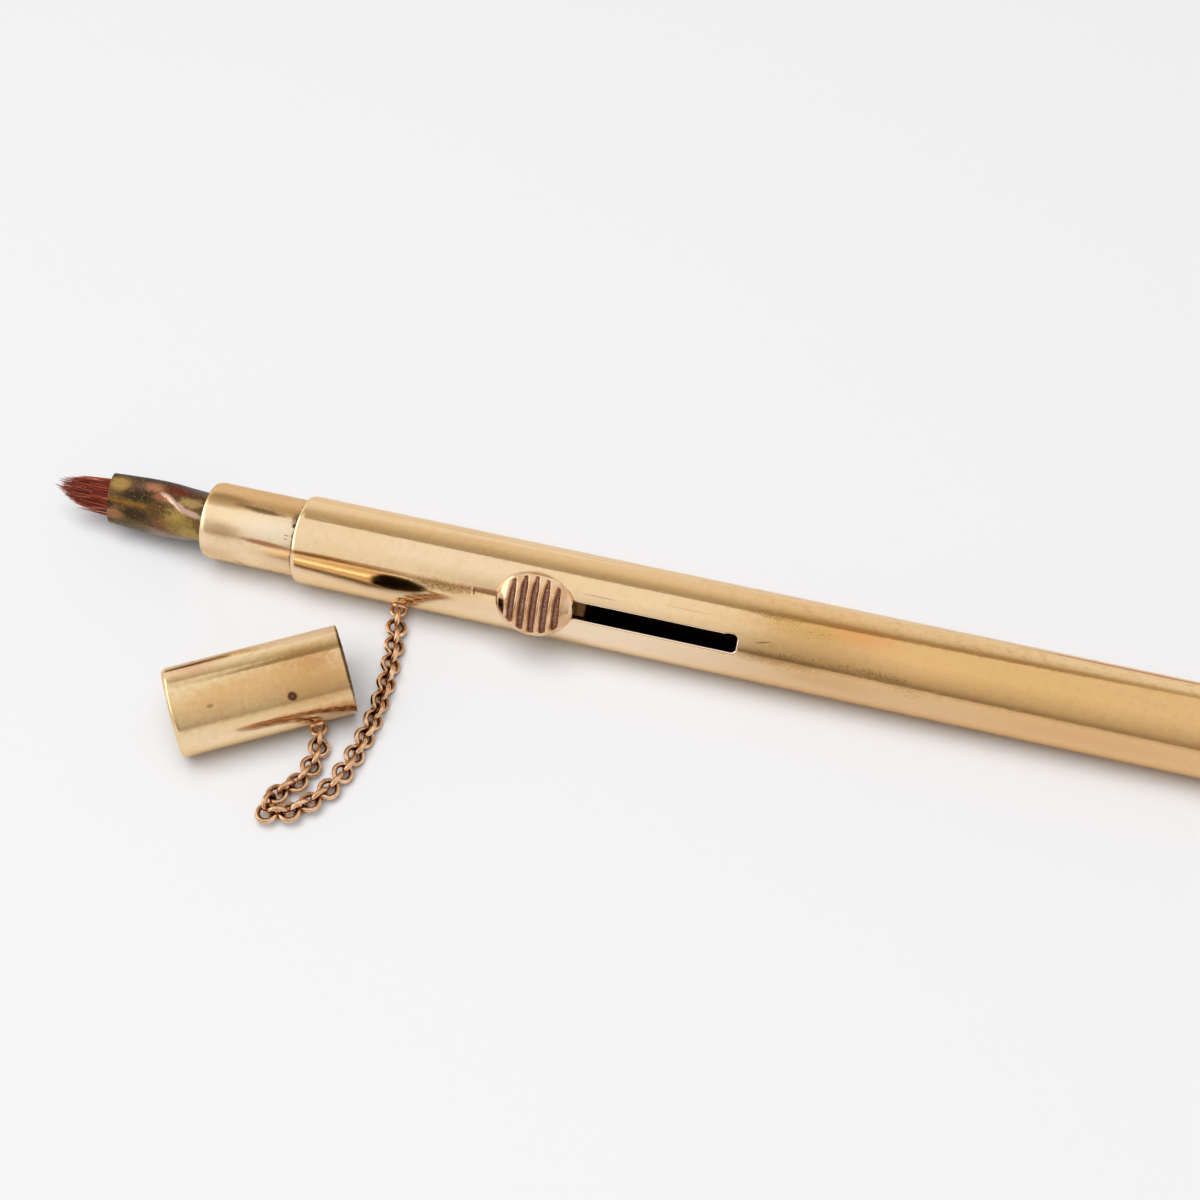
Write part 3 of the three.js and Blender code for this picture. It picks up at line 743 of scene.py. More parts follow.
ferruleLook = {
    "radius": 2.6,
    "base": tone(84, 66, 42),
    "olive": tone(112, 88, 48),
    "brass": tone(156, 124, 68),
    "rust": tone(122, 68, 48),
    "speck": tone(46, 34, 26),
    "glint": tone(206, 172, 104),
    "marks": [
        mark((-21.9, 2.95), (1.2, 0.7), 0.85, (186, 148, 84), ragged=1.9),
        mark((-18.9, 3.1), (1.7, 0.8), 0.85, (104, 78, 64), ragged=1.4),
        mark((-19.3, 1.8), (1.9, 0.75), 0.95, (56, 44, 30), ragged=1.2, dull=0.08),
        mark((-20.4, 0.5), (3.2, 0.32), 0.85, (146, 102, 44), ragged=1.2),
        mark((-19.7, -1.2), (1.7, 1.0), 0.95, (62, 48, 32), ragged=1.3, dull=0.08),
        mark((-22.4, -1.9), (1.1, 0.8), 0.85, (164, 112, 78), ragged=1.4),
        mark((-23.2, -0.6), (0.7, 0.7), 0.85, (58, 42, 34), ragged=1.2),
        mark((-17.7, 3.15), (1.2, 0.5), 0.85, (190, 128, 94), ragged=2.0),
        mark((-16.6, 2.2), (1.1, 0.5), 0.7, (176, 110, 78), ragged=1.5),
        mark((-14.8, 3.25), (1.7, 0.6), 0.92, (122, 52, 42), ragged=1.6),
        mark((-17.2, 0.3), (1.2, 1.2), 0.8, (86, 62, 34), ragged=1.6),
        mark((-16.0, -1.5), (1.4, 1.3), 0.7, (128, 82, 56), ragged=1.8),
        mark((-14.0, -0.6), (1.9, 1.7), 0.85, (154, 126, 66), ragged=2.6),
        mark((-12.6, -1.6), (1.3, 0.9), 0.8, (176, 148, 84), ragged=2.2),
        mark((-13.0, 2.0), (1.4, 0.55), 0.85, (182, 150, 96), ragged=2.2),
        mark((-12.4, 3.3), (1.6, 0.6), 0.8, (98, 72, 52), ragged=1.4),
        mark((-15.4, -3.0), (3.6, 0.6), 0.7, (160, 138, 124), ragged=1.2),
        mark((-20.0, -3.0), (2.4, 0.6), 0.7, (96, 84, 66), ragged=1.2),
        mark((-17.0, 4.3), (7.0, 0.7), 0.92, (62, 58, 56), ragged=0.6, dull=0.08),
    ],
    # a painted highlight along the bent crease
    "creaseHighlight": [
        mark((-16.3, 2.36), (0.7, 0.2), 1.0, soft=0.45, ragged=0.5, slope=-0.3),
        mark((-15.3, 1.86), (0.9, 0.3), 1.0, soft=0.45, ragged=0.5, slope=-0.5),
        mark((-14.1, 1.24), (1.0, 0.36), 1.0, soft=0.45, ragged=0.5, slope=-0.46),
        mark((-12.7, 0.86), (1.3, 0.28), 1.0, soft=0.45, ragged=0.5, slope=-0.16),
    ],
    "creaseHighlightTone": tone(206, 170, 150),
}


# Plating that has worn through to copper and brass in streaks and patches, with dark tarnish between them,
# and a painted highlight along a bent crease.
def ferruleFinish():
    material, graph = newMaterial("wornFerrule")
    surface = surfaceOf(graph, casePlace, ferruleLook["radius"])
    local = surface["local"]
    ragged = graph.noise(graph.stretched(local, 0.75, 1.2, 1.2), 1.9, 6.0, 0.72, 0.4)
    streaks = graph.noise(graph.stretched(local, 0.3, 1.5, 1.5), 1.4, 5.0, 0.7)
    colour = graph.mix(streaks.step(0.44, 0.58), ferruleLook["base"], ferruleLook["olive"])
    patches = graph.noise(local, 1.2, 5.0, 0.7)
    colour = graph.mix(patches.step(0.54, 0.66) * 0.5, colour, ferruleLook["brass"])
    rust = graph.noise(graph.stretched(local, 0.6, 1.3, 1.3), 1.6, 4.0, 0.7)
    colour = graph.mix(rust.step(0.54, 0.62) * 0.7, colour, ferruleLook["rust"])
    colour, dull = laidMarks(graph, surface, colour, ferruleLook["marks"], ragged)
    speck = graph.noise(local, 4.2, 5.0, 0.75)
    colour = graph.mix(speck.step(0.56, 0.66) * 0.75, colour, ferruleLook["speck"])
    glint = graph.noise(graph.stretched(local, 0.8, 1.0, 1.0), 4.6, 4.0, 0.7).step(0.58, 0.66)
    colour = graph.mix(glint * 0.4, colour, ferruleLook["glint"])
    creaseHighlight = 0.0
    for oval in ferruleLook["creaseHighlight"]:
        creaseHighlight = (spot(surface, oval, ragged) * oval["strength"]).maths("MAXIMUM", creaseHighlight)
    # The crease is painted pale pink, a painted highlight.
    colour = graph.mix(creaseHighlight * 0.92, colour, ferruleLook["creaseHighlightTone"])
    roughness = 0.24 + rust * 0.12 + dull + speck.step(0.5, 0.8) * 0.14 - creaseHighlight * 0.08
    height = ragged * 1.2 + speck * 0.5 - glint * 0.1
    closeMaterial(graph, colour, 0.9, roughness, height, 0.00002)
    return material


# Plain inner metal, seen only through the slot and the open ends.
def plainMetal(name, low, high, roughness):
    material, graph = newMaterial(name)
    local = millimetres(graph)
    patches = graph.noise(local, 0.9, 4.0, 0.6)
    turning = graph.noise(graph.stretched(local, 6.0, 0.2, 0.2), 2.0, 2.0)
    colour = graph.mix(patches.step(0.35, 0.7), low, high)
    closeMaterial(graph, colour, 1.0, roughness + patches * 0.1, turning * 0.5 + patches * 0.4)
    return material


def hairFinish():
    material, graph = newMaterial("redHair")
    shade = graph.attribute("strandTone")
    along = graph.attribute("strandAlong")
    colour = graph.mix(shade.step(0.15, 0.95), tone(96, 32, 20), tone(194, 92, 64))
    middle = along.step(0.25, 0.5) * (1 - along.step(0.8, 1.0))
    colour = graph.mix(middle * shade.step(0.7, 0.2) * 0.55, colour, tone(66, 20, 16))
    colour = graph.mix(along.step(0.9, 1.0) * 0.35, colour, tone(204, 140, 124))
    colour = graph.mix(graph.attribute("strandStray"), colour, tone(226, 172, 160))
    closeMaterial(graph, colour, 0.0, 0.5 + shade * 0.1, shine=0.25)
    return material


roseButton = buttonFinish()
copperLinks = copperFinish()
wornFerrule = ferruleFinish()
redHair = hairFinish()
plainBrass = plainMetal("plainBrass", tone(96, 66, 40), tone(140, 104, 64), 0.34)
rivetBrass = plainMetal("rivetBrass", tone(170, 126, 116), tone(214, 174, 154), 0.4)
springSteel = plainMetal("springSteel", tone(120, 120, 122), tone(160, 160, 162), 0.28)
print("finishes ready")


# Mesh helpers

# A finished piece: its mesh in metres in the part's frame, smooth, on its body, and standing for its nodes.
def finishPiece(name, mesh, material, body, nodes):
    mesh.name = name
    mesh.materials.clear()
    mesh.materials.append(material)
    mesh.polygons.foreach_set("use_smooth", [True] * len(mesh.polygons))
    piece = bpy.data.objects.new(name, mesh)
    bpy.context.scene.collection.objects.link(piece)
    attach(piece, body)
    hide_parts(*nodes)
    print("piece", name, len(mesh.polygons), "faces")
    return piece


# Turns a mesh's faces outwards, after points closer together than the merging distance have become one.
def faceOutwards(mesh, merging=0.0):
    shape = bmesh.new()
    shape.from_mesh(mesh)
    if merging:
        bmesh.ops.remove_doubles(shape, verts=shape.verts, dist=merging)
    bmesh.ops.recalc_face_normals(shape, faces=shape.faces)
    shape.to_mesh(mesh)
    shape.free()


def closedMesh(name, points, faces, place):
    mesh = bpy.data.meshes.new(name)
    mesh.from_pydata([Vector(point) for point in points], [], faces)
    mesh.transform(matrixOf(place))
    faceOutwards(mesh, 1e-7)
    return mesh


# Corners of an outline, each with its own rounding: (x, radius, rounding).
def rounded(corners, closed, steps=5):
    points = []
    for i, (x, r, rounding) in enumerate(corners):
        inside = closed or 0 < i < len(corners) - 1
        if not inside or rounding == 0:
            points.append((x, r))
            continue
        here = Vector((x, r))
        before = Vector(corners[i - 1][:2]) - here
        after = Vector(corners[(i + 1) % len(corners)][:2]) - here
        start = here + before.normalized() * rounding
        end = here + after.normalized() * rounding
        for k in range(steps + 1):
            t = k / steps
            bend = start * (1 - t) ** 2 + here * 2 * t * (1 - t) + end * t**2
            points.append((bend.x, bend.y))
    return points


# An outline turned about the X axis. Points on the axis become poles.
def turned(outline, sides, closed):
    points = []
    rings = []
    for x, r in outline:
        if r < 1e-6:
            rings.append([len(points)] * sides)
            points.append((x, 0, 0))
            continue
        rings.append([len(points) + j for j in range(sides)])
        for j in range(sides):
            angle = 2 * math.pi * j / sides
            points.append((x, r * math.sin(angle), r * math.cos(angle)))
    faces = []
    pairs = list(zip(rings, rings[1:] + rings[:1])) if closed else list(zip(rings, rings[1:]))
    for first, second in pairs:
        for j in range(sides):
            k = (j + 1) % sides
            face = []
            for vertex in (first[j], first[k], second[k], second[j]):
                if vertex not in face:
                    face.append(vertex)
            if len(face) > 2:
                faces.append(face)
    return points, faces


# A piece that is a rounded outline turned about its axis.
def turnedPiece(name, corners, closed, steps, place, material, body, nodes):
    sides = 128
    points, faces = turned(rounded(corners, closed, steps), sides, closed)
    finishPiece(name, closedMesh(name, points, faces, place), material, body, nodes)


# The faces between rings of points, the last of which joins the first, as ring, side and corners.
def wovenFaces(rings, sides):
    for i in range(rings):
        here, following = i * sides, (i + 1) % rings * sides
        for j in range(sides):
            k = (j + 1) % sides
            yield i, j, (here + j, here + k, following + k, following + j)


# Case tube

tube = {
    "radius": 5.0,
    "wall": 0.45,
    "length": 108.0,
    "slotStart": 26.0,
    "slotEnd": 50.3,
    "slotHalf": 0.94,
    "slotCorner": 0.5,
    "slotEdge": 0.2,
    "endNick": 0.13,
    "endNickFrom": 48.9,  # from here on one edge of the slot steps outwards
    "endNickOver": 0.5,
    "patchMargin": 1.3,
    "patchSteps": 48,
    "rearSteps": 30,
    "sides": 144,
    "patchSides": 14,
    "spans": 5,  # between the patch's border and the slot
    "bevelSteps": 5,
}


# The slot's outline nearest to a point of the patch round it, and the way out of the slot there.
def slotEdgeAt(x, y):
    corner = tube["slotCorner"]
    middleX = min(max(x, tube["slotStart"] + corner), tube["slotEnd"] - corner)
    middleY = min(max(y, corner - tube["slotHalf"]), tube["slotHalf"] - corner)
    out = Vector((x - middleX, y - middleY)).normalized()
    edge = Vector((middleX, middleY)) + out * corner
    if edge.y > 0:
        rise = min(max((edge.x - tube["endNickFrom"]) / tube["endNickOver"], 0.0), 1.0)
        edge.y += tube["endNick"] * rise * rise * (3 - 2 * rise)
    return edge, out


# The tube's outline round its wall, as x and radius, and the places in it where the patch round the slot
# starts on its outer and on its inner side.
def tubeOutline():
    radius, end = tube["radius"], tube["length"]
    inner = radius - tube["wall"]
    patchFrom = tube["slotStart"] - tube["patchMargin"]
    patchTo = tube["slotEnd"] + tube["patchMargin"]
    steps, rearSteps = tube["patchSteps"], tube["rearSteps"]
    along = [1.0 + k for k in range(int(patchFrom) - 1)]
    along += [patchFrom + (patchTo - patchFrom) * k / steps for k in range(steps + 1)]
    along += [patchTo + (end - 1 - patchTo) * k / rearSteps for k in range(1, rearSteps + 1)]
    rim = [(0.6, inner, 0), (0, inner, 0.12), (0, radius - 0.17, 0.08), (0.3, radius, 0.25), (0.9, radius, 0)]
    front = rounded(rim, False)
    rim = [(end - 0.6, radius, 0), (end, radius, 0.08), (end, inner, 0.05), (end - 0.6, inner, 0)]
    rear = rounded(rim, False)
    outline = front + [(x, radius) for x in along] + rear + [(x, inner) for x in reversed(along)]
    outerFirst = len(front) + along.index(patchFrom)
    innerFirst = len(outline) - 1 - along.index(patchFrom)
    return outline, outerFirst, innerFirst


# Rings of points from the patch's border to the slot and back: over the outer side, round the slot's bevel,
# down the wall and over the inner side.
def slotRings(border):
    radius = tube["radius"]
    inner = radius - tube["wall"]
    edge = tube["slotEdge"]
    count, bevelSteps = tube["spans"], tube["bevelSteps"]
    spans = [(1 - k / count) ** 1.3 for k in range(1, count)]
    bends = [math.radians(90 - 90 * k / bevelSteps) for k in range(bevelSteps + 1)]
    recipe = [("outer", span) for span in spans] + [("bend", bend) for bend in bends]
    recipe += [("wall", share) for share in (0.5, 1.0)] + [("inner", span) for span in reversed(spans)]
    for kind, amount in recipe:
        ring = []
        for x, angle in border:
            outerY = radius * math.sin(angle)
            rim, out = slotEdgeAt(x, outerY)
            if kind == "outer":
                spotX, spotY = (rim + out * edge).lerp(Vector((x, outerY)), amount)
                level = radius
            elif kind == "bend":
                spotX, spotY = rim + out * edge * (1 - math.cos(amount))
                level = radius - edge * (1 - math.sin(amount))
            elif kind == "wall":
                spotX, spotY = rim
                level = radius - edge + (inner - radius + edge) * amount
            else:
                spotX, spotY = rim.lerp(Vector((x, inner * math.sin(angle))), amount)
                level = inner
            ring.append((spotX, spotY, math.sqrt(level**2 - spotY**2)))
        yield ring


def caseTube():
    outline, outerFirst, innerFirst = tubeOutline()
    steps, sides, patchSides = tube["patchSteps"], tube["sides"], tube["patchSides"]
    half = patchSides // 2
    angles = [2 * math.pi * j / sides for j in range(-half, sides - half)]
    points = [(x, r * math.sin(a), r * math.cos(a)) for x, r in outline for a in angles]
    faces = []
    for i, j, face in wovenFaces(len(outline), sides):
        onPatch = outerFirst <= i < outerFirst + steps or innerFirst - steps <= i < innerFirst
        if not onPatch or j >= patchSides:
            faces.append(face)
    border = [(k, 0) for k in range(steps)]
    border += [(steps, j) for j in range(patchSides)]
    border += [(k, patchSides) for k in range(steps, 0, -1)]
    border += [(0, j) for j in range(patchSides, 0, -1)]
    loops = [[(outerFirst + k) * sides + j for k, j in border]]
    for ring in slotRings([(outline[outerFirst + k][0], angles[j]) for k, j in border]):
        loops.append(range(len(points), len(points) + len(ring)))
        points += ring
    loops.append([(innerFirst - k) * sides + j for k, j in border])
    for first, second in zip(loops, loops[1:]):
        for k in range(len(border)):
            after = (k + 1) % len(border)
            faces.append((first[k], first[after], second[after], second[k]))
    used = sorted({vertex for face in faces for vertex in face})
    place = {vertex: k for k, vertex in enumerate(used)}
    points = [points[vertex] for vertex in used]
    faces = [[place[vertex] for vertex in face] for face in faces]
    mesh = closedMesh("caseTube", points, faces, casePlace)
    finishPiece("caseTube", mesh, giltCase, "case", ["case_tube"])


caseTube()

neck = {"front": -11.0, "rear": 7.0, "radius": 4.35, "wall": 0.4}


def neckSleeve():
    radius = neck["radius"]
    inner = radius - neck["wall"]
    corners = [
        (neck["front"], inner, 0.05),
        (neck["front"], radius - 0.2, 0.06),
        (neck["front"] + 0.42, radius, 0.35),
        (neck["front"] / 2, radius, 0.0),
        (neck["rear"], radius, 0.1),
        (neck["rear"], inner, 0.1),
    ]
    turnedPiece("neckSleeve", corners, True, 5, casePlace, giltNeck, "case", ["neck_sleeve"])


neckSleeve()

plug = {"seat": 108.05, "neck": 4.45, "depth": 4.0, "radius": 5.0, "head": 0.99}


def rearPlug():
    front, seat, rear = plug["seat"] - plug["depth"], plug["seat"], plug["seat"] + plug["head"]
    corners = [
        (front, 0, 0),
        (front, plug["neck"], 0.15),
        (seat, plug["neck"], 0),
        (seat, plug["radius"], 0.06),
        (rear, plug["radius"], 0.4),
        (rear, 0, 0),
    ]
    turnedPiece("rearPlug", corners, False, 8, casePlace, giltCase, "case", ["rear_plug"])


rearPlug()

cap = {"radius": 4.9, "wall": 0.45, "length": 19.1, "endFlat": 3.2, "endRound": 0.75, "endWall": 1.45}


# The barrel and its closed end are one smooth skin. Its mouth is cut square, with a thin bright lip.
def capBarrel():
    radius, end = cap["radius"], -cap["length"]
    inner = radius - cap["wall"]
    bottom = end + cap["endWall"]
    corners = [
        (end, 0, 0),
        (end, cap["endFlat"], 0),
        (end, radius, cap["endRound"]),
        (end / 2, radius, 0),
        (0, radius, 0.1),
        (0, inner, 0.08),
        (bottom, inner, 0.3),
        (bottom, 0, 0),
    ]
    nodes = ["cap_shell", "cap_end_disc"]
    turnedPiece("capBarrel", corners, False, 8, capPlace, giltCap, "cap", nodes)


capBarrel()


# Tree helpers for Geometry Nodes

def newTree(name, inputs):
    tree = bpy.data.node_groups.new(name, "GeometryNodeTree")
    tree.interface.new_socket("Geometry", in_out="INPUT", socket_type="NodeSocketGeometry")
    tree.interface.new_socket("Geometry", in_out="OUTPUT", socket_type="NodeSocketGeometry")
    for label, kind in inputs.items():
        tree.interface.new_socket(label, in_out="INPUT", socket_type=kind)
    graph = Graph(tree)
    entry = tree.nodes.new("NodeGroupInput")
    wires = {output.name: Wire(graph, output) for output in entry.outputs if output.name}
    return graph, wires


def closeTree(graph, geometry, material):
    real = graph.add("GeometryNodeRealizeInstances", {}, {0: geometry})
    smooth = graph.add("GeometryNodeSetShadeSmooth", {}, {0: real})
    dressed = graph.add("GeometryNodeSetMaterial", {}, {"Geometry": smooth, "Material": material})
    way = graph.tree.nodes.new("NodeGroupOutput")
    graph.tree.links.new(dressed.socket, way.inputs[0])


# Runs a tree on a mesh and keeps the result as a plain mesh, with no modifier left.
def grown(name, seedMesh, graph, values, place):
    carrier = bpy.data.objects.new(name + "Seed", seedMesh)
    bpy.context.scene.collection.objects.link(carrier)
    modifier = carrier.modifiers.new("grow", "NODES")
    modifier.node_group = graph.tree
    for item in graph.tree.interface.items_tree:
        if item.in_out == "INPUT" and item.name in values:
            modifier[item.identifier] = values[item.name]
    depsgraph = bpy.context.evaluated_depsgraph_get()
    mesh = bpy.data.meshes.new_from_object(carrier.evaluated_get(depsgraph))
    bpy.data.objects.remove(carrier)
    mesh.transform(matrixOf(place))
    return mesh


# Chain

eyes = {"ring": 0.75, "wire": 0.25, "rise": 0.62, "pad": 0.95, "padThick": 0.5, "padSunk": 0.25}

chain = {
    "longRun": {  # from the case's eye to the bend, leaning over by these degrees on its first places
        "lean": 42.0,
        "leanPlaces": 11,
        "route": [
            (12.53, -6.55), (13.04, -8.91), (13.36, -11.28), (13.63, -13.7), (13.73, -16.11),
            (13.73, -18.56), (13.52, -20.95), (13.19, -23.36), (12.71, -25.74), (11.92, -28.01),
            (10.56, -30.04), (8.85, -31.75), (6.53, -32.44),
        ],
    },
    "shortRun": {  # from the cap's eye to the bend
        "lean": 25.0,
        "leanPlaces": 3,
        "route": [(9.25, -23.43), (9.2, -25.85), (8.45, -28.15), (6.84, -30.03)],
    },
    "bendOut": 0.25,
    "bendLean": 20.0,
    "linkRadius": 0.935,
    "wire": 0.29,
    "coreWire": 0.265,  # the wire without its gloss, on which the links rest
    "rest": 0.03,
    "reach": 1.1,
    "linkSteps": 32,
    "wireSteps": 14,
    "caseEyeX": 12.1,
    "capEyeX": -4.4,
}


def eyeCentre(x, radius):
    turn = math.radians(layout["eyeTurn"])
    reach = radius + eyes["rise"]
    return Vector((x, -reach * math.sin(turn), radius + reach * math.cos(turn)))


def onCap(point):
    spun = Matrix.Rotation(math.radians(layout["capYaw"]), 3, "Z") @ point
    return spun + Vector((*layout["capMouth"], 0))


# How far the links of a run lean over at a place, counted in places of its route.
def leanAt(run, place):
    share = min(max((place + 1) / run["leanPlaces"], 0), 1)
    return math.radians(run["lean"] * math.sin(math.pi * share) ** 0.8)


def linkHeight(lean):
    return chain["linkRadius"] * max(math.cos(lean), math.sin(lean)) + chain["coreWire"] + chain["rest"]


# A run's links from its eye on, as centre, direction and lean. Those of the route lie, and one stands before
# each of them.
def runLinks(run, eye):
    lying = [Vector((x, y, linkHeight(leanAt(run, place)))) for place, (x, y) in enumerate(run["route"])]
    stops = [eye, *lying]
    links = []
    for place, centre in enumerate(lying):
        step = centre - stops[place]
        share = chain["reach"] / step.length if place == 0 else 0.5
        links.append((stops[place] + step * share, step, leanAt(run, place - 0.5)))
        after = lying[min(place + 1, len(lying) - 1)]
        links.append((centre, after - stops[place], leanAt(run, place) + math.pi / 2))
    return links


# Every link of the chain as centre, direction and the way that its ring faces, between the two eyes.
def linkPlaces():
    ends = [eyeCentre(chain["caseEyeX"], tube["radius"]), onCap(eyeCentre(chain["capEyeX"], cap["radius"]))]
    long = runLinks(chain["longRun"], ends[0])
    short = runLinks(chain["shortRun"], ends[1])[::-1]
    across = short[0][0] - long[-1][0]
    outwards = Vector((-across.y, across.x, 0)).normalized()
    bend = (long[-1][0] + short[0][0]) / 2 + outwards * chain["bendOut"]
    links = []
    for centre, along, lean in [*long, (bend, across, math.radians(chain["bendLean"])), *short]:
        tangent = along.normalized()
        side = Vector((tangent.y, -tangent.x, 0)).normalized()
        up = side.cross(tangent).normalized()
        links.append((centre, tangent, side * math.cos(lean) + up * math.sin(lean)))
    return links, ends


# One round link on each point, turned by the tangent and the normal that the point carries.
def linkTree():
    graph, wires = newTree("chainLinks", {"Link radius": "NodeSocketFloat", "Wire radius": "NodeSocketFloat"})
    circle = "GeometryNodeCurvePrimitiveCircle"
    ring = graph.add(circle, {}, {"Resolution": chain["linkSteps"], "Radius": wires["Link radius"]})
    wire = graph.add(circle, {}, {"Resolution": chain["wireSteps"], "Radius": wires["Wire radius"]})
    link = graph.add("GeometryNodeCurveToMesh", {}, {"Curve": ring, "Profile Curve": wire})
    x, y, _ = graph.parts(graph.add("GeometryNodeInputPosition"))
    inner = (wires["Link radius"] - (x * x + y * y) ** 0.5) / wires["Wire radius"] * 0.5 + 0.5
    link = graph.store(link, "innerSide", inner)
    facing = {"Vector": graph.stored("linkNormal", "FLOAT_VECTOR")}
    stand = graph.add("FunctionNodeAlignRotationToVector", {"axis": "Z"}, facing)
    along = {"Rotation": stand, "Vector": graph.stored("linkTangent", "FLOAT_VECTOR")}
    aim = graph.add("FunctionNodeAlignRotationToVector", {"axis": "X", "pivot_axis": "Z"}, along)
    values = {"Points": wires["Geometry"], "Instance": link, "Rotation": aim}
    closeTree(graph, graph.add("GeometryNodeInstanceOnPoints", {}, values), copperLinks)
    return graph


def chainPiece():
    links, ends = linkPlaces()
    seed = bpy.data.meshes.new("linkPoints")
    seed.from_pydata([centre for centre, _, _ in links], [], [])
    for label, column in (("linkTangent", 1), ("linkNormal", 2)):
        attribute = seed.attributes.new(label, "FLOAT_VECTOR", "POINT")
        for item, link in zip(attribute.data, links):
            item.vector = link[column]
    sizes = {"Link radius": chain["linkRadius"], "Wire radius": chain["wire"]}
    mesh = grown("chain", seed, linkTree(), sizes, chainPlace)
    nodes = [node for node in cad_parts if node.startswith("chain_link_")]
    piece = finishPiece("chain", mesh, copperLinks, "chain", nodes)
    matrix = matrixOf(chainPlace)
    path = [matrix @ point for point in [ends[0], *[centre for centre, _, _ in links], ends[1]]]
    length = sum((after - before).length for before, after in zip(path, path[1:]))
    print("chain length", round(length * 1000, 2), "mm")
    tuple(path[0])


chainPiece()


# A wire ring on a small pad that hugs a tube. The ring lies level once the eye is turned to its place.
def chainEye(name, x, radius, place, body, node):
    points = []
    faces = []
    tilt = Matrix.Rotation(-math.radians(layout["eyeTurn"]), 3, "X")
    rings, sides = 40, 16
    for i in range(rings):
        a = 2 * math.pi * i / rings
        nextI = (i + 1) % rings
        for j in range(sides):
            b = 2 * math.pi * j / sides
            nextJ = (j + 1) % sides
            reach = eyes["ring"] + eyes["wire"] * math.cos(b)
            ring = tilt @ Vector((reach * math.cos(a), reach * math.sin(a), eyes["wire"] * math.sin(b)))
            points.append(ring + Vector((x, 0, radius + eyes["rise"])))
            faces.append((i * sides + j, nextI * sides + j, nextI * sides + nextJ, i * sides + nextJ))
    thick, wide = eyes["padThick"], eyes["pad"]
    pad = rounded([(0, 0, 0), (0, wide, 0.03), (thick, wide, 0.12), (thick, 0, 0)], False, 4)
    padPoints, padFaces = turned(pad, rings, False)
    first = len(points)
    for height, across, along in padPoints:
        reach = radius - eyes["padSunk"] + height
        points.append(Vector((x + along, across, math.sqrt(max(reach * reach - across * across, 0.01)))))
    faces += [[first + vertex for vertex in face] for face in padFaces]
    finishPiece(name, closedMesh(name, points, faces, place), copperLinks, body, [node])


chainEye("caseEye", chain["caseEyeX"], tube["radius"], caseEyePlace, "case", "case_eye")
chainEye("capEye", chain["capEyeX"], cap["radius"], capEyePlace, "cap", "cap_eye")

# Thumb button

button = {
    "x": 28.05,
    "halfLength": 4.34,
    "halfWidth": 3.64,
    "pitch": 1.25,
    "depth": 0.5,
    "reach": 3.85,
    "cells": 220,
    "fadeFrom": 2.35,  # the grooves end between these two numbers of pitches from the middle
    "fadeTo": 2.6,
    "outline": [
        (6.92, 0, 0), (6.87, 1.2, 0.4), (6.66, 2.4, 0.5), (6.28, 3.4, 0.4), (5.86, 4.1, 0.25),
        (5.5, 4.34, 0.12), (5.38, 4.32, 0.08), (5.2, 3.95, 0.1), (5.2, 0, 0),
    ],
    "curveReach": 5.0,  # the outline's radii and heights as float curves take them, from 0 to 1
    "curveFrom": 5.0,
    "curveRise": 2.0,
}


# Radius and height of the button's skin, for the share of the way along its outline from the top's middle.
def buttonSkin(graph, share):
    outline = rounded(button["outline"], False, 4)
    lengths = [0.0]
    for before, after in zip(outline, outline[1:]):
        lengths.append(lengths[-1] + math.dist(before, after))
    shares = [length / lengths[-1] for length in lengths]
    widest, lowest, rise = button["curveReach"], button["curveFrom"], button["curveRise"]
    radii = [(place, r / widest) for place, (_, r) in zip(shares, outline)]
    heights = [(place, (h - lowest) / rise) for place, (h, _) in zip(shares, outline)]
    radius = graph.add("ShaderNodeFloatCurve", {"curve": radii}, {1: share}) * widest
    height = graph.add("ShaderNodeFloatCurve", {"curve": heights}, {1: share}) * rise + lowest
    return radius, height


# A square grid wrapped over the button's turned outline and drawn into an oval, with grooves pressed into
# its dome. Where a groove lies, the ribs beside it keep a sharp crest.
def buttonTree():
    labels = ["Centre", "Narrowing", "Groove pitch", "Groove depth", "Groove reach"]
    kinds = dict.fromkeys(labels, "NodeSocketFloat")
    graph, wires = newTree("thumbButton", {**kinds, "Cells": "NodeSocketInt"})
    grid = graph.add("GeometryNodeMeshGrid", {}, {0: 2.0, 1: 2.0, 2: wires["Cells"], 3: wires["Cells"]})
    x, y, _ = graph.parts(graph.add("GeometryNodeInputPosition"))
    side = x.maths("ABSOLUTE").maths("MAXIMUM", y.maths("ABSOLUTE"))
    reach = (x * x + y * y + 1e-12) ** 0.5
    radius, height = buttonSkin(graph, side)
    along = x / reach * radius
    across = y / reach * radius
    phase = along / wires["Groove pitch"] + 0.5
    saw = phase - phase.maths("FLOOR")
    inRow = 1 - (along.maths("ABSOLUTE") / wires["Groove pitch"]).step(button["fadeFrom"], button["fadeTo"])
    behind = across.step(-0.4, 0.4)
    space = wires["Groove reach"] + behind * 0.12 - radius
    taper = (1 - space.step(0.0, 1.7)) * behind * 0.16
    cut = saw.step(0.02 + taper, 0.46 + taper) * (1 - saw.step(0.62 - taper, 0.98 - taper))
    edge = space.step(0.0, 0.3)
    onTop = height.step(5.9, 6.1)
    depth = cut * inRow * edge * onTop
    level = height - depth * wires["Groove depth"]
    place = graph.vector(along + wires["Centre"], across * wires["Narrowing"], level)
    marked = graph.store(graph.store(grid, "grooveDepth", depth), "groovePhase", saw)
    shaped = graph.add("GeometryNodeSetPosition", {}, {"Geometry": marked, "Position": place})
    merged = graph.add("GeometryNodeMergeByDistance", {}, {"Geometry": shaped, "Distance": 0.0005})
    closeTree(graph, merged, roseButton)
    return graph


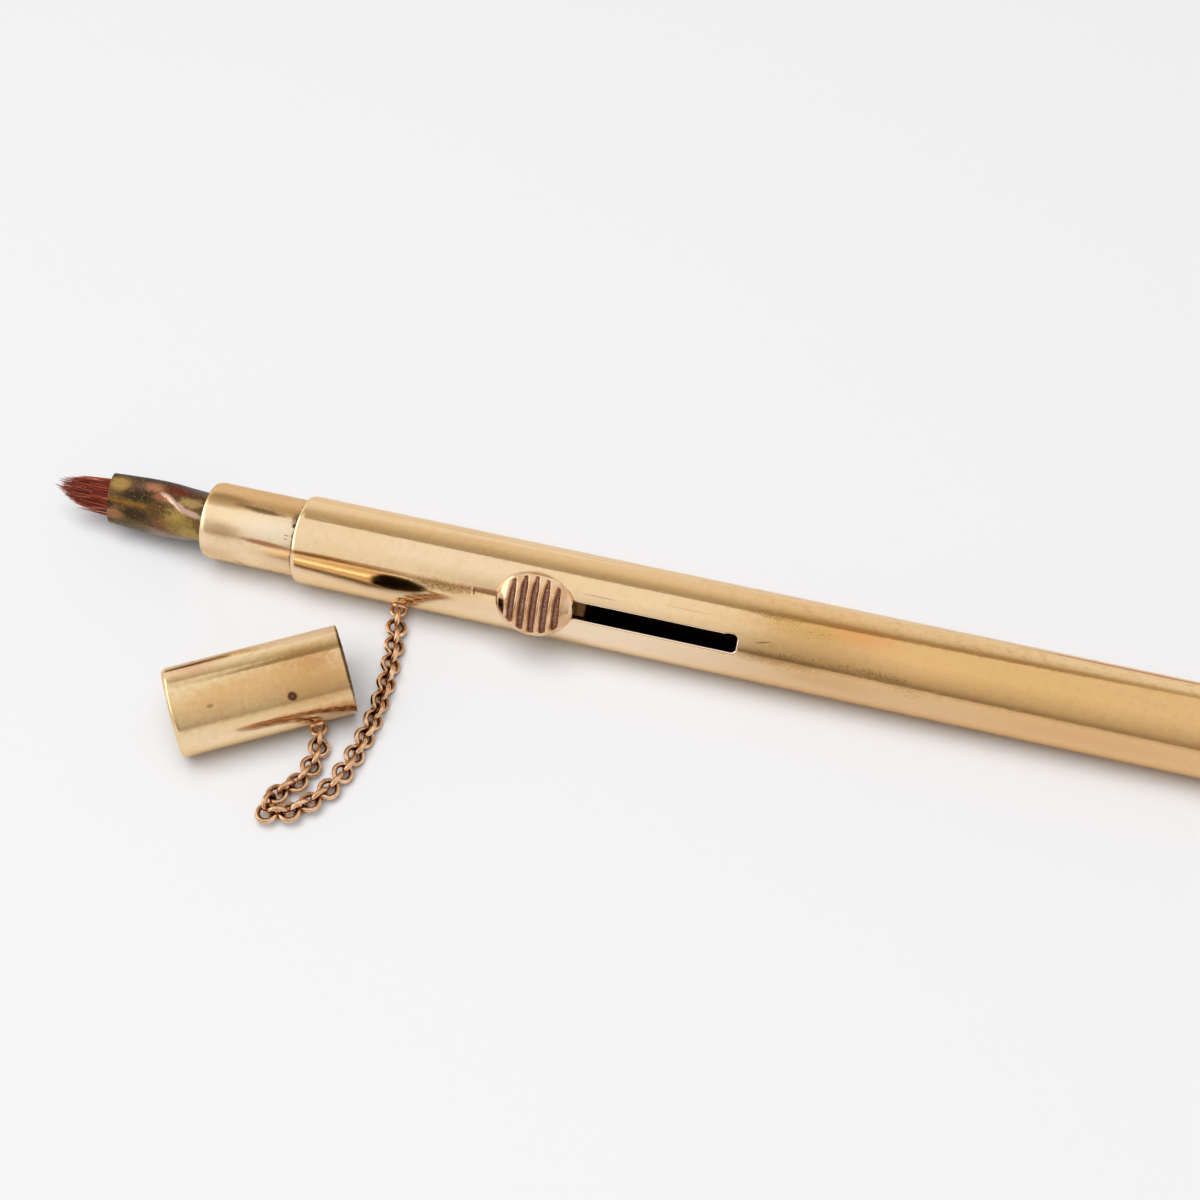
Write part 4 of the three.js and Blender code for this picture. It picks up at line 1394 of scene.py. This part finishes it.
def thumbButton():
    sizes = {
        "Centre": button["x"],
        "Narrowing": button["halfWidth"] / button["halfLength"],
        "Groove pitch": button["pitch"],
        "Groove depth": button["depth"],
        "Groove reach": button["reach"],
        "Cells": button["cells"],
    }
    mesh = grown("thumbButton", bpy.data.meshes.new("buttonSeed"), buttonTree(), sizes, casePlace)
    faceOutwards(mesh)
    finishPiece("thumbButton", mesh, roseButton, "slider", ["thumb_button"])


thumbButton()

# Ferrule and bristles

ferrule = {
    "wall": 0.3,
    "lip": 0.09,
    "rows": 110,
    "rowsUntil": -9.0,
    "hiddenRows": [-5.0, 0.0, 7.0],
    "sides": 96,
    "stations": [  # x, half width and half thickness
        (-23.2, 2.94, 1.5), (-21.0, 3.08, 1.62), (-18.2, 3.22, 1.85), (-16.0, 3.2, 2.2), (-14.0, 3.02, 2.6),
        (-12.0, 2.88, 2.82), (-10.0, 2.85, 2.85), (14.0, 2.85, 2.85),
    ],
    "dents": [  # x and angle of the middle, size along and round, height and tilt, angles in radians
        (-15.2, 0.62, 1.8, 0.13, 0.12, -0.22),
        (-15.6, 0.28, 1.6, 0.2, -0.14, -0.2),
        (-16.5, 1.1, 1.6, 0.25, -0.1, 0.0),
        (-18.6, -0.4, 1.4, 0.4, -0.07, 0.0),
        (-13.6, -0.5, 1.2, 0.35, 0.05, 0.0),
        (-21.4, 0.9, 1.0, 0.3, 0.04, 0.0),
    ],
}


# Half width and half thickness at x, on a smooth curve through the stations.
def ferruleHalf(x):
    stations = ferrule["stations"]
    spans = range(len(stations) - 1)
    i = next((k for k in spans if x <= stations[k + 1][0]), len(stations) - 2)
    before, start, end, after = (stations[min(max(k, 0), len(stations) - 1)] for k in range(i - 1, i + 3))
    t = min(max((x - start[0]) / (end[0] - start[0]), 0), 1)
    halves = []
    for c in (1, 2):
        lift = (end[c] - before[c]) / max(end[0] - before[0], 0.1) * (end[0] - start[0])
        fall = (after[c] - start[c]) / max(after[0] - start[0], 0.1) * (end[0] - start[0])
        halves.append(start[c] * (2 * t**3 - 3 * t**2 + 1) + lift * (t**3 - 2 * t**2 + t)
                      + end[c] * (3 * t**2 - 2 * t**3) + fall * (t**3 - t**2))
    return halves


# Dents of the pressed tube: how far the skin is pushed out at a place along and round it.
def ferruleDent(x, angle):
    push = 0.0
    for atX, atAngle, sizeX, sizeAngle, height, tilt in ferrule["dents"]:
        away = (angle - atAngle + math.pi) % (2 * math.pi) - math.pi - tilt * (x - atX)
        push += height * math.exp(-((x - atX) / sizeX) ** 2 - (away / sizeAngle) ** 2)
    return push


def ferrulePiece():
    rows, sides = ferrule["rows"], ferrule["sides"]
    wall, lip = ferrule["wall"], ferrule["lip"]
    front, rear = ferrule["stations"][0][0], ferrule["stations"][-1][0]
    skin = [front + (ferrule["rowsUntil"] - front) * (k / (rows - 1)) for k in range(rows)]
    skin += [*ferrule["hiddenRows"], rear]
    turns = (1.5708, 1.2, 0.8, 0.4, 0.0)
    outline = [(front + lip * (1 - math.sin(a)), lip * (1 - math.cos(a))) for a in turns]
    outline += [(x, 0.0) for x in skin[1:]] + [(rear, wall)] + [(x, wall) for x in reversed(skin[1:])]
    outline += [(front + 0.02, wall - 0.02)]
    points = []
    for x, inset in outline:
        width, thickness = ferruleHalf(x)
        for j in range(sides):
            angle = 2 * math.pi * j / sides
            push = ferruleDent(x, angle) - inset
            points.append((x, (width + push) * math.sin(angle), (thickness + push) * math.cos(angle)))
    faces = [face for _, _, face in wovenFaces(len(outline), sides)]
    mesh = closedMesh("ferruleTube", points, faces, casePlace)
    finishPiece("ferruleTube", mesh, wornFerrule, "slider", ["ferrule"])


ferrulePiece()

tuft = {
    "root": -22.3,
    "halfWidth": 2.25,
    "halfDepth": 1.0,
    "length": 7.3,
    "count": 1000,
    "strand": 0.046,
    "seed": 11,
    "tidy": 0.976,  # the share of strands that don't stray
    "fanned": 0.55,  # how far a stray strand leaves the others, next to its place in the tuft
    "swayed": 0.16,  # how far any strand bends sideways at its tip, in millimetres
    "bends": 9,
    "corners": 4,
}


# One point for each strand, which carries where it is rooted and its length, bend and tone.
def strandPoints(graph, wires):
    def chance(low, high, shift):
        seed = wires["Seed"] + shift
        return graph.add("FunctionNodeRandomValue", {"data_type": "FLOAT"}, {2: low, 3: high, 8: seed}, out=1)

    points = graph.add("GeometryNodePoints", {}, {0: wires["Count"]})
    turn = chance(0.0, 6.28318, 1)
    reach = chance(0.0, 1.0, 2) ** 0.5
    stray = chance(0.0, 1.0, 3).step(tuft["tidy"], tuft["tidy"] + 0.001)
    rootY = reach * turn.maths("SINE")
    rootZ = reach * turn.maths("COSINE")
    clumps = graph.noise(graph.vector(rootY * 2.2, rootZ * 1.6, wires["Seed"]), 1.3, 1.0)
    length = wires["Length"] * (1.0 - 0.3 * reach ** 1.5 + (clumps - 0.5) * 0.55 + chance(-0.16, 0.06, 4))
    length = length * (1 + stray * chance(-0.1, 0.16, 9))
    facts = {
        "strandTurn": turn,
        "strandReach": reach,
        "strandLength": length,
        "strandStray": stray,
        "strandTone": chance(0.0, 1.0, 5),
        "strandSway": chance(-1.0, 1.0, 6),
        "strandLift": chance(-1.0, 1.0, 7),
        "strandClump": clumps - 0.5,
    }
    for label, wire in facts.items():
        points = graph.store(points, label, wire)
    return points


# Strands rooted over an oval and drawn together towards the point, a few of which stray.
def tuftTree():
    kinds = dict.fromkeys(["Half width", "Half depth", "Length", "Root", "Strand"], "NodeSocketFloat")
    graph, wires = newTree("bristleTuft", {**kinds, "Count": "NodeSocketInt", "Seed": "NodeSocketInt"})
    points = strandPoints(graph, wires)
    line = graph.add("GeometryNodeCurvePrimitiveLine", {}, {"Start": (0, 0, 0), "End": (1, 0, 0)})
    fine = graph.add("GeometryNodeResampleCurve", {}, {"Curve": line, "Count": tuft["bends"]})
    planted = graph.add("GeometryNodeInstanceOnPoints", {}, {"Points": points, "Instance": fine})
    strands = graph.add("GeometryNodeRealizeInstances", {}, {0: planted})

    def fact(label):
        return graph.stored("strand" + label)

    share = graph.add("GeometryNodeSplineParameter", {}, out=0)
    run = share * fact("Length")
    close = 1 - 0.02 * run - 0.0062 * run * run
    spread = close + fact("Stray") * share * share * tuft["fanned"]
    sway = share * share * (tuft["swayed"] + 0.35 * fact("Stray"))
    across = fact("Reach") * fact("Turn").maths("SINE") * wires["Half width"] * spread
    across = across + fact("Clump") * share * share * 2.0
    depth = fact("Reach") * fact("Turn").maths("COSINE") * wires["Half depth"] * spread
    place = graph.vector(wires["Root"] - run, across + sway * fact("Sway"), depth + sway * fact("Lift"))
    bent = graph.add("GeometryNodeSetPosition", {}, {"Geometry": strands, "Position": place})
    told = graph.store(bent, "strandAlong", share)
    thick = wires["Strand"] * (1 - 0.75 * share ** 2.2) * (1 - 0.45 * fact("Stray"))
    circle = {"Resolution": tuft["corners"], "Radius": 1.0}
    section = graph.add("GeometryNodeCurvePrimitiveCircle", {}, circle)
    values = {"Curve": told, "Profile Curve": section, "Scale": thick, "Fill Caps": True}
    solid = graph.add("GeometryNodeCurveToMesh", {}, values)
    closeTree(graph, solid, redHair)
    return graph


def bristlePiece():
    sizes = {
        "Half width": tuft["halfWidth"],
        "Half depth": tuft["halfDepth"],
        "Length": tuft["length"],
        "Root": tuft["root"],
        "Strand": tuft["strand"],
        "Count": tuft["count"],
        "Seed": tuft["seed"],
    }
    mesh = grown("bristles", bpy.data.meshes.new("tuftSeed"), tuftTree(), sizes, casePlace)
    finishPiece("bristles", mesh, redHair, "slider", ["bristle_tuft"])


bristlePiece()

# CAD nodes that stay get their metals here.
keptNodes = {
    "slider_carriage": plainBrass,
    "button_stem": plainBrass,
    "brush_handle": plainBrass,
    "cap_rivet": rivetBrass,
    "friction_spring": springSteel,
    "button_screw": springSteel,
    "handle_pin": springSteel,
}
for nodeName, metal in keptNodes.items():
    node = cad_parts[nodeName]
    node.data.materials.clear()
    node.data.materials.append(metal)
print("kept nodes dressed")
